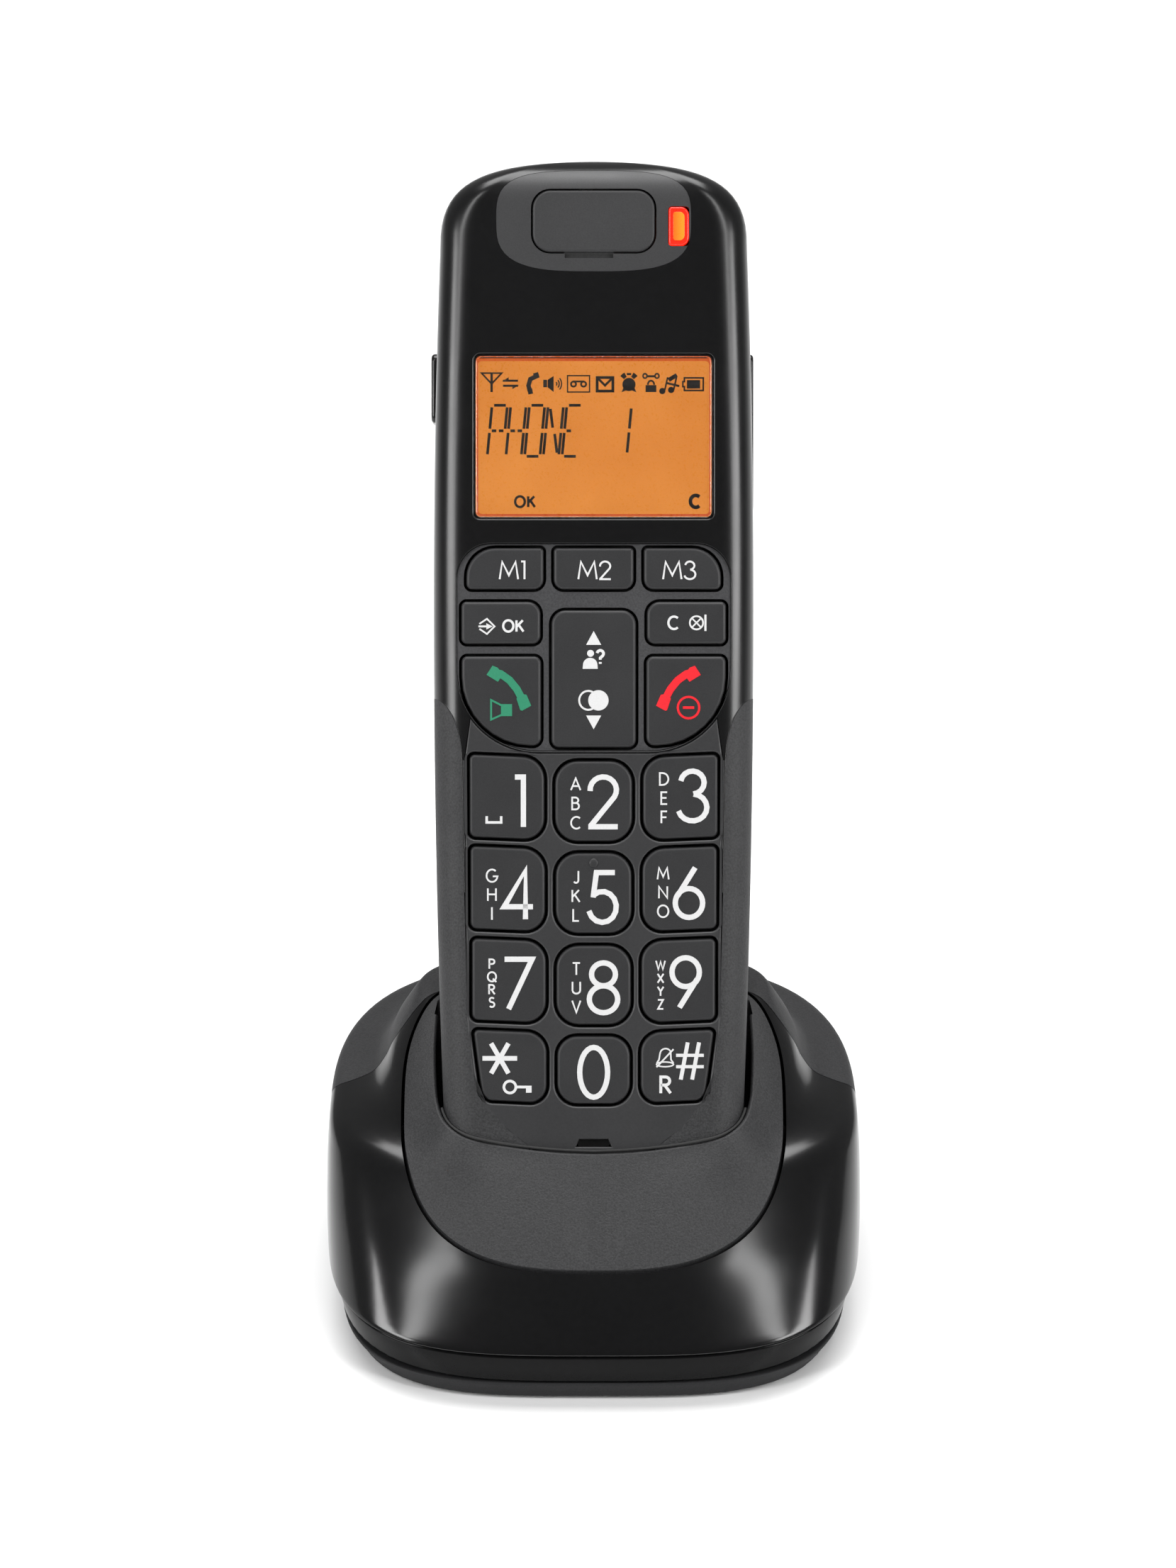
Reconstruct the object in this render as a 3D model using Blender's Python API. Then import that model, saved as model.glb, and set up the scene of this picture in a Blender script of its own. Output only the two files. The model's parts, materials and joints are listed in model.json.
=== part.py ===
"""Cordless telephone: a long handset standing in its low charging base.

Sizes below are in millimetres and become metres where a mesh is made. The handset is modelled
upright in its own frame, X across, Y from front to back and Z along its length, and an empty
tilts it into the base. The base is modelled in its own frame, which another empty shifts so that
the whole telephone is centred on the origin, standing at Z = 0 and facing -Y.
"""

import math

import bmesh
import bpy
from mathutils import Matrix, Vector

MM = 0.001

# Whole telephone
BASE_SHIFT_Y = -18.26
HANDSET_TILT = 27.5
HANDSET_SEAT = (0.0, -8.11, 16.23)

# Handset body
HANDSET_HALF_WIDTH = 25.54
WIDEST_Z = 96.0
UPPER_BEND = 3.3e-4
LOWER_BEND = 2.4e-4
HALF_DEPTH = 13.5
FRONT_CORNER = 5.5
BACK_CORNER = 8.0
TOP_ARCH_Z = 152.0
TOP_ARCH_HEIGHT = 14.5
TOP_EDGE_RADIUS = 6.0
BOTTOM_ARCH_Z = 10.0
BOTTOM_ARCH_HEIGHT = 10.0
BOTTOM_EDGE_RADIUS = 5.0
ARCH_EXPONENT = 2.9
TOP_SHARES = (0.97, 0.92, 0.84, 0.72, 0.55, 0.35)
BOTTOM_SHARES = (0.45, 0.62, 0.78, 0.89, 0.96)
MIDDLE_Z = (24.0, 45.0, 70.0, 96.0, 125.0, 145.0)
WALL = 1.8
GAP = 0.3
FRONT_CUT_Y = (-16.0, -11.0)

# Keys: half widths and heights, symmetric about the handset's middle
KEY_GAP = 0.45
KEY_FRONT_Y = -13.35
KEY_BACK_Y = -9.2
TALK_CORNER = 11.5

# Base body
BASE_FRONT_EXPONENT = 3.4
BASE_REAR_EXPONENT = 2.75
BASE_WALL = 2.0
BASE_POINTS = 40
BASE_STATIONS = (
    # height, half width, front, back, centre
    (9.0, 43.0, -42.4, 50.0, 2.0),
    (14.0, 43.2, -38.0, 50.1, 2.0),
    (18.5, 43.2, -33.2, 50.0, 2.0),
    (22.5, 43.1, -28.4, 49.8, 2.5),
    (25.5, 42.9, -24.6, 49.6, 3.0),
    (27.5, 42.6, -22.0, 49.2, 4.0),
    (28.7, 41.4, -20.4, 47.6, 5.0),
    (29.6, 38.6, -19.2, 43.6, 6.0),
    (31.0, 35.8, -17.4, 39.4, 7.0),
    (33.5, 33.9, -14.6, 35.2, 8.0),
    (36.5, 32.4, -9.0, 32.2, 11.0),
    (39.5, 30.2, 0.0, 29.8, 14.0),
    (41.3, 28.6, 6.0, 28.4, 16.0),
    (42.0, 27.2, 9.0, 27.2, 17.0),
)
DISH_RADIUS = 80.0
DISH_START = (-33.0, 18.8)
DISH_END = (-16.8, 31.0)
INSERT_HALF_WIDTH = 30.3
INSERT_HALF_LENGTH = 26.7
INSERT_CENTRE_Y = -6.0
INSERT_EXPONENT = 2.8
INSERT_GROOVE = 0.9
POCKET_CLEARANCE = 0.6
CUP_WALL = 2.0
PIN_X = 7.0
PIN_Y = 3.0


def clear_scene():
    for obj in list(bpy.data.objects):
        bpy.data.objects.remove(obj, do_unlink=True)


def new_collection(name, helper):
    collection = bpy.data.collections.new(name)
    collection.hide_render = helper
    bpy.context.scene.collection.children.link(collection)
    return collection


def new_material(name, colour, roughness, metallic=0.0):
    material = bpy.data.materials.new(name)
    material.use_nodes = True
    shader = material.node_tree.nodes["Principled BSDF"]
    shader.inputs["Base Color"].default_value = (*colour, 1.0)
    shader.inputs["Roughness"].default_value = roughness
    shader.inputs["Metallic"].default_value = metallic
    material.diffuse_color = (*colour, 1.0)
    return material


def new_empty(name, location, tilt):
    empty = bpy.data.objects.new(name, None)
    empty.location = Vector(location) * MM
    empty.rotation_euler.x = math.radians(tilt)
    PARTS.objects.link(empty)
    return empty


def add(name, bm, material, parent, origin=(0, 0, 0)):
    """One sub-part from a bmesh in millimetres, its origin moved to a point of its parent's frame."""
    bmesh.ops.translate(bm, verts=bm.verts, vec=-Vector(origin))
    bmesh.ops.scale(bm, verts=bm.verts, vec=(MM, MM, MM))
    bmesh.ops.recalc_face_normals(bm, faces=bm.faces)
    mesh = bpy.data.meshes.new(name)
    bm.to_mesh(mesh)
    bm.free()
    obj = bpy.data.objects.new(name, mesh)
    obj.location = Vector(origin) * MM
    obj.parent = parent
    if material:
        mesh.materials.append(material)
        PARTS.objects.link(obj)
    else:
        obj.hide_render = True
        obj.display_type = "WIRE"
        CUTTERS.objects.link(obj)
    return obj


def helper(name, bm, parent):
    return add(name, bm, None, parent)


def combine(obj, operation, other):
    modifier = obj.modifiers.new(operation.title() + " " + other.name, "BOOLEAN")
    modifier.operation = operation
    modifier.object = other
    modifier.solver = "EXACT"


def loft(rings):
    """A closed solid through rings of equally many points."""
    bm = bmesh.new()
    rows = [[bm.verts.new(point) for point in ring] for ring in rings]
    count = len(rings[0])
    for low, high in zip(rows, rows[1:]):
        for i in range(count):
            j = (i + 1) % count
            bm.faces.new((low[i], low[j], high[j], high[i]))
    bm.faces.new(rows[0][::-1])
    bm.faces.new(rows[-1])
    return bm


def join(pieces):
    """Separate shapes as one bmesh, used for cutters."""
    whole = bmesh.new()
    for piece in pieces:
        mesh = bpy.data.meshes.new("piece")
        piece.to_mesh(mesh)
        piece.free()
        whole.from_mesh(mesh)
        bpy.data.meshes.remove(mesh)
    return whole


def block(x, y, z):
    """A box between three pairs of limits."""
    bm = bmesh.new()
    bmesh.ops.create_cube(bm, size=1.0)
    size = (x[1] - x[0], y[1] - y[0], z[1] - z[0])
    centre = ((x[0] + x[1]) / 2, (y[0] + y[1]) / 2, (z[0] + z[1]) / 2)
    bmesh.ops.scale(bm, verts=bm.verts, vec=size)
    bmesh.ops.translate(bm, verts=bm.verts, vec=centre)
    return bm


def cylinder(axis, centre, radius, length, segments=20):
    """A cylinder along the axis X, Y or Z, centred on a point."""
    bm = bmesh.new()
    bmesh.ops.create_cone(
        bm, cap_ends=True, segments=segments, radius1=radius, radius2=radius, depth=length
    )
    turn = {"X": Matrix.Rotation(math.pi / 2, 3, "Y"), "Y": Matrix.Rotation(math.pi / 2, 3, "X")}
    if axis != "Z":
        bmesh.ops.rotate(bm, verts=bm.verts, matrix=turn[axis])
    bmesh.ops.translate(bm, verts=bm.verts, vec=centre)
    return bm


def corner(centre, radius, start, segments):
    """A quarter circle of points, counted in degrees from the first axis."""
    angles = [math.radians(start + 90 * i / segments) for i in range(segments + 1)]
    return [(centre[0] + radius * math.cos(a), centre[1] + radius * math.sin(a)) for a in angles]


def rounded(x, z, radii, segments=3):
    """A rectangle with its own radius at lower right, upper right, upper left and lower left."""
    corners = ((x[1], z[0], -1, 1), (x[1], z[1], -1, -1), (x[0], z[1], 1, -1), (x[0], z[0], 1, 1))
    points = []
    for index, ((cx, cz, sx, sz), radius) in enumerate(zip(corners, radii)):
        centre = (cx + sx * radius, cz + sz * radius)
        points += corner(centre, radius, -90 + 90 * index, segments)
    return points


def superellipse(half_x, low, high, centre, exponents, count):
    """A closed outline that is squarer than an ellipse, with its own lower and upper half."""
    points = []
    for i in range(count):
        angle = 2 * math.pi * (i + 0.5) / count
        c, s = math.cos(angle), math.sin(angle)
        exponent = exponents[1] if s > 0 else exponents[0]
        reach = high - centre if s > 0 else centre - low
        power = abs(c / half_x) ** exponent + abs(s / reach) ** exponent
        radius = power ** (-1 / exponent)
        points.append((radius * c, centre + radius * s))
    return points


def slab(outline, y):
    """An outline in X and Z, extruded between two depths."""
    return loft([[(px, depth, pz) for px, pz in outline] for depth in y])


def tower(outline, z):
    """An outline in X and Y, extruded between two heights."""
    return loft([[(px, py, height) for px, py in outline] for height in z])


def side_slab(outline, x):
    """An outline in Y and Z, extruded between two places across."""
    return loft([[(across, py, pz) for py, pz in outline] for across in x])


def half_width(z):
    bend = UPPER_BEND if z > WIDEST_Z else LOWER_BEND
    return HANDSET_HALF_WIDTH - bend * (z - WIDEST_Z) ** 2


def handset_section(z, width, offset, edge, radius):
    """One cross-section: the depth shrinks towards the rounded end, edge away from it."""
    depth = HALF_DEPTH + offset
    if edge < radius:
        depth += math.sqrt(max(radius**2 - (radius - edge) ** 2, 0.0)) - radius
    points = []
    for index in range(4):
        side = 1 if index in (0, 1) else -1
        back = index in (1, 2)
        wanted = (BACK_CORNER if back else FRONT_CORNER) + offset
        fillet = min(wanted, 0.95 * width, 0.95 * depth)
        centre = (side * (width - fillet), (1 if back else -1) * (depth - fillet))
        points += corner(centre, fillet, -90 + 90 * index, 4)
    return [(x, y, z) for x, y in points]


def handset_form(offset=0.0):
    """The handset's outer form, grown or shrunk by an offset."""
    rings = []
    for share in BOTTOM_SHARES:
        height = BOTTOM_ARCH_HEIGHT + offset
        rise = height * (1 - (1 - share**ARCH_EXPONENT) ** (1 / ARCH_EXPONENT))
        z = BOTTOM_ARCH_Z - height + rise
        width = share * (half_width(BOTTOM_ARCH_Z) + offset)
        rings.append(handset_section(z, width, offset, rise, BOTTOM_EDGE_RADIUS + offset))
    for z in (BOTTOM_ARCH_Z, *MIDDLE_Z, TOP_ARCH_Z):
        rings.append(handset_section(z, half_width(z) + offset, offset, z, 0.0))
    for share in TOP_SHARES:
        height = TOP_ARCH_HEIGHT + offset
        drop = height * (1 - (1 - share**ARCH_EXPONENT) ** (1 / ARCH_EXPONENT))
        z = TOP_ARCH_Z + height - drop
        width = share * (half_width(TOP_ARCH_Z) + offset)
        rings.append(handset_section(z, width, offset, drop, TOP_EDGE_RADIUS + offset))
    return loft(rings)


def base_form(offset=0.0, floor=None):
    """The base's outer form, made of flat rings from the lip to the ridge behind the handset."""
    rings = []
    for height, width, front, back, centre in BASE_STATIONS:
        z = height + offset if floor is None or height > BASE_STATIONS[0][0] else floor
        exponents = (BASE_FRONT_EXPONENT, BASE_REAR_EXPONENT)
        ring = superellipse(
            width + offset, front - offset, back + offset, centre, exponents, BASE_POINTS
        )
        rings.append([(x, y, z) for x, y in ring])
    return loft(rings)


def dish(grow):
    """The wide shallow trough that lowers the middle of the insert towards the pocket."""
    rise = Vector((0, DISH_END[0] - DISH_START[0], DISH_END[1] - DISH_START[1])).normalized()
    lift = Vector((0, -rise.z, rise.y))
    bm = cylinder("Z", (0, 0, 0), DISH_RADIUS + grow, 70.0, 160)
    bmesh.ops.rotate(bm, verts=bm.verts, matrix=Vector((0, 0, 1)).rotation_difference(rise).to_matrix())
    centre = Vector((0, *DISH_END)) + lift * DISH_RADIUS - rise * 5.0
    bmesh.ops.translate(bm, verts=bm.verts, vec=centre)
    return bm


def insert_outline(grow):
    return superellipse(
        INSERT_HALF_WIDTH + grow,
        INSERT_CENTRE_Y - INSERT_HALF_LENGTH - grow,
        INSERT_CENTRE_Y + INSERT_HALF_LENGTH + grow,
        INSERT_CENTRE_Y,
        (INSERT_EXPONENT, INSERT_EXPONENT),
        40,
    )


def deck_outline(shift):
    """The rear housing's area: a curved front edge that sweeps back from the sides to the ridge."""
    shoulder, edge_y, sweep = 33.0, 18.4, 11.9
    points = []
    for x in (60.0, 43.0, 41.0, 39.0, 37.0, 35.0, 33.0):
        points.append((x, edge_y - sweep * ((x - shoulder) / 10) ** 2 if x < 50 else -4.0))
    for angle in (20, 40, 60, 75, 90):
        a = math.radians(angle)
        points.append((shoulder * math.cos(a) ** 0.8, edge_y + 10.0 * math.sin(a) ** 0.8))
    points = [(x, y + shift) for x, y in points]
    mirrored = [(-x, y) for x, y in reversed(points[:-1])]
    return points + mirrored + [(-60.0, 70.0), (60.0, 70.0)]


# Keys as name, limits across, limits along, corner radii (lower right, upper right,
# upper left, lower left). Outer-column keys are mirrored from the left one.
def key_plan():
    left = {
        "key_m1": ((-20.2, -7.95), (98.1, 104.7), (1.6, 1.2, 4.0, 1.0)),
        "key_ok": ((-21.0, -8.45), (89.45, 96.15), (1.4, 1.6, 1.0, 1.0)),
        "key_talk": ((-20.95, -8.35), (73.3, 87.5), (1.6, 1.2, 1.0, TALK_CORNER)),
        "key_1": ((-19.75, -7.8), (58.55, 71.7), (2.7, 2.7, 1.0, 1.0)),
        "key_4": ((-19.6, -7.7), (44.0, 57.15), (2.7, 2.7, 1.0, 1.0)),
        "key_7": ((-19.35, -7.55), (29.5, 42.5), (2.7, 2.7, 1.0, 1.0)),
        "key_star": ((-18.7, -7.45), (16.75, 28.0), (2.7, 2.7, 1.0, 1.4)),
    }
    partner = {
        "key_m1": "key_m3", "key_ok": "key_c", "key_talk": "key_end", "key_1": "key_3",
        "key_4": "key_6", "key_7": "key_9", "key_star": "key_hash",
    }
    plan = dict(left)
    for name, (x, z, (lr, ur, ul, ll)) in left.items():
        plan[partner[name]] = ((-x[1], -x[0]), z, (ll, ul, ur, lr))
    middle = {
        "key_m2": (6.35, (98.1, 104.7), 1.2), "nav_rocker": (6.7, (73.0, 94.8), 1.8),
        "key_2": (6.15, (58.1, 70.9), 3.0), "key_5": (6.05, (43.5, 56.3), 3.0),
        "key_8": (5.95, (29.0, 41.6), 3.0), "key_0": (5.8, (16.4, 27.2), 3.0),
    }
    for name, (half, z, radius) in middle.items():
        plan[name] = ((-half, half), z, (radius,) * 4)
    return plan


UPPER_KEYS = (
    "key_m1", "key_m2", "key_m3", "key_ok", "key_c", "nav_rocker", "key_talk", "key_end",
)


def key_hole(entry):
    x, z, radii = entry
    outline = rounded(
        (x[0] - KEY_GAP, x[1] + KEY_GAP),
        (z[0] - KEY_GAP, z[1] + KEY_GAP),
        [r + KEY_GAP for r in radii],
    )
    return slab(outline, FRONT_CUT_Y)


def make_keys(frame, material):
    for name, (x, z, radii) in key_plan().items():
        origin = ((x[0] + x[1]) / 2, (KEY_FRONT_Y + KEY_BACK_Y) / 2, (z[0] + z[1]) / 2)
        add(name, slab(rounded(x, z, radii), (KEY_FRONT_Y, KEY_BACK_Y)), material, frame, origin)


def grip_outline(side, grow):
    """The side grip seen from the front: a pointed top that sweeps in to a long straight edge."""
    top, bend, inner, bottom = 80.8, 70.0, 20.95, 9.0
    points = [(30.0, top + 4.0 + grow), (25.4, top + grow)]
    for share in (0.25, 0.5, 0.75):
        lean = math.sin(share * math.pi / 2)
        points.append((25.4 - (25.4 - inner) * lean - grow, top - (top - bend) * share**2))
    points += [(inner - grow, bend), (inner - 0.7 - grow, bottom - grow), (30.0, bottom - grow)]
    return [(side * x, z) for x, z in points]


def make_handset_shells(frame, materials):
    """Front and rear shells and the grips, all cut from one hollow form."""
    outer = helper("handset_outer", handset_form(), frame)
    inner = helper("handset_inner", handset_form(-WALL), frame)
    plan = key_plan()

    openings = [key_hole(plan[name]) for name in plan if name not in UPPER_KEYS]
    openings.append(slab(rounded((-21.75, 21.75), (72.4, 105.4), (13.0, 5.0, 5.0, 13.0), 4), FRONT_CUT_Y))
    openings.append(slab(rounded((-19.0, 19.0), (109.3, 135.4), (1.0,) * 4, 2), FRONT_CUT_Y))
    openings.append(slab(surround_outline(GAP), FRONT_CUT_Y))
    openings.append(block((-2.8, 2.8), FRONT_CUT_Y, (9.5, 10.8)))
    front_holes = helper("front_holes", join(openings), frame)

    side = [
        side_slab(rounded((-4.3, 4.3), (124.8, 136.5), (1.5,) * 4), (-30.0, -20.0)),
        side_slab(rounded((-4.3, 4.3), (110.4, 136.4), (1.5,) * 4), (20.0, 30.0)),
        side_slab(rounded((-2.9, 2.9), (137.7, 143.3), (1.0,) * 4), (20.0, 30.0)),
    ]
    for sign in (-1, 1):
        side.append(slab(grip_outline(sign, 0.2), (-20.0, 7.2)))
    side_holes = helper("side_holes", join(side), frame)

    front_half = helper("front_half", block((-40, 40), (-20, -0.1), (-5, 175)), frame)
    rear_half = helper("rear_half", block((-40, 40), (0.1, 20), (-5, 175)), frame)
    rear = [slab(rounded((-16.3, 16.3), (45.7, 98.3), (2.3,) * 4), (9.0, 16.0))]
    for sign in (-1, 1):
        rear.append(block((sign * PIN_X - 2.25, sign * PIN_X + 2.25), (1.25, 4.75), (-3, 3)))
    for row in range(5):
        rear.append(slab(rounded((-6.0, 6.0), (122.0 + 4 * row, 123.4 + 4 * row), (0.6,) * 4, 2), (9, 16)))
    rear_holes = helper("rear_holes", join(rear), frame)

    front_shell = add("front_shell", handset_form(), materials["gloss"], frame)
    for operation, other in (
        ("INTERSECT", front_half), ("DIFFERENCE", inner),
        ("DIFFERENCE", front_holes), ("DIFFERENCE", side_holes),
    ):
        combine(front_shell, operation, other)

    rear_shell = add("rear_shell", handset_form(), materials["gloss"], frame)
    for operation, other in (
        ("INTERSECT", rear_half), ("DIFFERENCE", inner),
        ("DIFFERENCE", side_holes), ("DIFFERENCE", rear_holes),
    ):
        combine(rear_shell, operation, other)

    for sign, name in ((-1, "side_grip_left"), (1, "side_grip_right")):
        grip = add(name, slab(grip_outline(sign, 0.0), (-20.0, 7.0)), materials["grip"], frame)
        combine(grip, "INTERSECT", outer)
        combine(grip, "DIFFERENCE", inner)

    door = add(
        "battery_door", slab(rounded((-16, 16), (46, 98), (2.0,) * 4), (9.0, 16.0)),
        materials["gloss"], frame, (0.0, HALF_DEPTH - WALL, 72.0),
    )
    combine(door, "INTERSECT", outer)
    combine(door, "DIFFERENCE", inner)


def surround_outline(grow):
    return superellipse(15.45 + grow, 148.5 - grow, 164.6 + grow, 156.6, (3.2, 3.4), 28)


def make_earpiece(frame, materials):
    outer = helper("earpiece_outer", handset_form(-0.1), frame)
    inner = helper("earpiece_inner", handset_form(-WALL), frame)
    surround = add("earpiece_surround", slab(surround_outline(0.0), (-16.0, FRONT_CUT_Y[1] - GAP)), materials["matte"], frame)
    plate_hole = slab(rounded((-10.2, 10.2), (150.9, 161.9), (2.9,) * 4), (-20.0, -5.0))
    lamp_hole = slab(rounded((11.7, 17.0), (152.4, 158.9), (0.3,) * 4, 1), (-20.0, -5.0))
    holes = helper("earpiece_holes", join([plate_hole, lamp_hole]), frame)
    for operation, other in (("INTERSECT", outer), ("DIFFERENCE", inner), ("DIFFERENCE", holes)):
        combine(surround, operation, other)
    add(
        "earpiece_plate", slab(rounded((-9.5, 9.5), (151.6, 161.0), (2.5,) * 4), (-13.1, -11.9)),
        materials["matte"], frame,
    )
    add(
        "call_indicator", slab(rounded((12.0, 15.0), (152.7, 158.6), (1.0, 1.0, 0.4, 0.4)), (-13.4, -11.0)),
        materials["lamp"], frame,
    )
    add("receiver_capsule", cylinder("Y", (0, -9.2, 156.0), 6.5, 3.8), materials["metal"], frame)


def make_display(frame, materials):
    add(
        "display_window", slab(rounded((-18.7, 18.7), (109.6, 135.1), (0.8,) * 4, 2), (-13.3, -12.1)),
        materials["window"], frame,
    )
    add("lcd_module", block((-20.0, 20.0), (-11.4, -8.4), (107.5, 137.0)), materials["display"], frame)


def make_key_bezel(frame, materials):
    """The web between the upper keys: an outline with the keys' holes cut through it."""
    outline = rounded((-20.3, 20.3), (73.6, 104.5), (14.0, 6.0, 6.0, 14.0), 4)
    bezel = add("key_bezel", slab(outline, (-12.9, -11.5)), materials["web"], frame)
    plan = key_plan()
    holes = helper("bezel_holes", join([key_hole(plan[name]) for name in UPPER_KEYS]), frame)
    combine(bezel, "DIFFERENCE", holes)


def make_handset_inside(frame, materials):
    add("key_mat", block((-20.5, 20.5), (-8.0, -7.2), (15.0, 106.0)), materials["rubber"], frame)
    add("handset_pcb", block((-20.5, 20.5), (-6.6, -5.2), (14.0, 158.0)), materials["board"], frame)
    add("microphone", cylinder("Y", (0, -10.2, 11.0), 2.8, 2.2, 16), materials["metal"], frame)
    add("ringer_speaker", cylinder("Y", (0, 8.4, 130.7), 10.0, 5.4), materials["metal"], frame)
    for sign, name in ((-1, "battery_a"), (1, "battery_b")):
        add(name, cylinder("Z", (sign * 6.4, 5.6, 71.8), 5.25, 44.5), materials["cell"], frame)
    add("battery_springs", block((-12, 12), (1.2, 10.0), (48.2, 49.2)), materials["metal"], frame)
    add("battery_plate", block((-12, 12), (1.2, 10.0), (94.4, 95.4)), materials["metal"], frame)
    for sign, name in ((-1, "handset_contact_left"), (1, "handset_contact_right")):
        limits = (sign * PIN_X - 2.0, sign * PIN_X + 2.0)
        add(name, block(limits, (1.5, 4.5), (0.25, 1.6)), materials["metal"], frame)


def make_side_controls(frame, materials):
    add(
        "boost_button", side_slab(rounded((-4, 4), (125.1, 136.2), (1.2,) * 4), (-26.05, -22.9)),
        materials["gloss"], frame, (-24.5, 0.0, 130.65),
    )
    add(
        "volume_rocker", side_slab(rounded((-4, 4), (110.7, 136.1), (1.2,) * 4), (22.9, 25.65)),
        materials["gloss"], frame, (24.3, 0.0, 123.4),
    )
    add(
        "headset_socket_cover", side_slab(rounded((-2.6, 2.6), (138.0, 143.0), (0.7,) * 4), (23.5, 24.95)),
        materials["rubber"], frame, (24.95, 0.0, 143.0),
    )


def make_base_shells(base, handset, materials):
    """Gloss cover, matte rear housing and cradle insert, cut from one hollow hump."""
    outer = helper("base_outer", base_form(), base)
    inner = helper("base_inner", base_form(-BASE_WALL, floor=5.0), base)
    deeper = helper("base_deeper", base_form(-BASE_WALL - 0.4, floor=5.0), base)
    pocket = helper("pocket", handset_form(POCKET_CLEARANCE), handset)

    cover = add("base_cover", base_form(), materials["gloss"], base)
    deck_area = helper("deck_area", tower(deck_outline(-0.1), (0.0, 60.0)), base)
    insert_hole = helper("insert_hole", tower(insert_outline(INSERT_GROOVE), (6.0, 60.0)), base)
    for other in (inner, insert_hole, pocket, deck_area):
        combine(cover, "DIFFERENCE", other)

    rear = add("rear_housing", tower(deck_outline(0.1), (0.0, 60.0)), materials["matte"], base)
    sockets = helper(
        "rear_openings",
        join([
            block((-16.3, -2.7), (40, 55), (9.6, 21.3)),
            block((5.7, 15.3), (40, 55), (9.6, 20.3)),
            cylinder("Z", (0, 41, 29), 4.3, 12, 24),
        ]),
        base,
    )
    for operation, other in (("INTERSECT", outer), ("DIFFERENCE", inner), ("DIFFERENCE", sockets)):
        combine(rear, operation, other)

    skin = helper("insert_skin", tower(insert_outline(0.0), (6.0, 60.0)), base)
    combine(skin, "INTERSECT", outer)
    dished = helper("base_dished", base_form(-BASE_WALL, floor=5.0), base)
    combine(dished, "DIFFERENCE", helper("dish_wide", dish(BASE_WALL), base))
    combine(skin, "DIFFERENCE", dished)
    limit = helper("cup_limit", tower(insert_outline(-0.3), (6.0, 60.0)), base)
    combine(limit, "INTERSECT", helper("base_shallow", base_form(-0.5, floor=5.5), base))
    combine(limit, "UNION", deeper)
    insert = add("cradle_insert", handset_form(POCKET_CLEARANCE + CUP_WALL), materials["matte"], handset)
    pin_holes = helper(
        "pin_holes",
        join([cylinder("Z", (sign * PIN_X, PIN_Y, -2), 1.55, 8, 16) for sign in (-1, 1)]),
        handset,
    )
    for operation, other in (
        ("INTERSECT", limit), ("UNION", skin), ("DIFFERENCE", pocket),
        ("DIFFERENCE", helper("dish", dish(0.0), base)), ("DIFFERENCE", pin_holes),
    ):
        combine(insert, operation, other)


def base_ring(width, front, back, z, front_exponent=BASE_FRONT_EXPONENT):
    exponents = (front_exponent, BASE_REAR_EXPONENT)
    return [(x, y, z) for x, y in superellipse(width, front, back, 2.0, exponents, BASE_POINTS)]


def make_base_lower(base, materials):
    skirt = add(
        "base_skirt", loft([base_ring(41.4, -41.3, 48.8, 3.6), base_ring(42.3, -41.8, 49.4, 8.7)]),
        materials["gloss"], base,
    )
    hollow = helper("skirt_hollow", loft([base_ring(39.4, -39.3, 46.8, 2), base_ring(40.3, -39.8, 47.4, 10)]), base)
    combine(skirt, "DIFFERENCE", hollow)
    plate = add(
        "bottom_plate", loft([base_ring(39.5, -40.9, 47.4, 0.6, 3.7), base_ring(40.9, -41.3, 48.5, 3.3)]),
        materials["matte"], base,
    )
    places = {
        "foot_front_left": (-27, -27), "foot_front_right": (27, -27),
        "foot_rear_left": (-27, 34), "foot_rear_right": (27, 34),
    }
    recesses = helper(
        "foot_recesses", join([cylinder("Z", (x, y, 1.0), 4.3, 2.0, 20) for x, y in places.values()]), base
    )
    combine(plate, "DIFFERENCE", recesses)
    for name, (x, y) in places.items():
        add(name, cylinder("Z", (x, y, 0.85), 4.0, 1.7), materials["rubber"], base)


def make_base_inside(base, handset, materials):
    add("base_pcb", block((-20, 20), (14, 42.5), (7.9, 9.5)), materials["board"], base)
    phone_socket = add("phone_socket", block((-16, -3), (34.0, 47.4), (9.9, 21.0)), materials["socket"], base)
    combine(phone_socket, "DIFFERENCE", helper("phone_mouth", block((-14.4, -4.6), (37.0, 50), (12.0, 18.8)), base))
    power_socket = add("power_socket", block((6, 15), (36.0, 47.4), (9.9, 20.0)), materials["socket"], base)
    combine(power_socket, "DIFFERENCE", helper("power_mouth", cylinder("Y", (10.5, 45, 14.9), 3.0, 14), base))
    combine(power_socket, "UNION", helper("power_pin", cylinder("Y", (10.5, 41.0, 14.9), 1.0, 9, 12), base))
    add("page_button", cylinder("Z", (0, 41, 27.9), 4.0, 4.8, 24), materials["matte"], base, (0, 41, 27.9))
    for sign, name in ((-1, "charge_pin_left"), (1, "charge_pin_right")):
        centre = (sign * PIN_X, PIN_Y, -2.7)
        add(name, cylinder("Z", centre, 1.2, 5.0, 16), materials["metal"], handset, centre)


clear_scene()
PARTS = new_collection("cordless_phone", False)
CUTTERS = new_collection("cutters", True)

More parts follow.
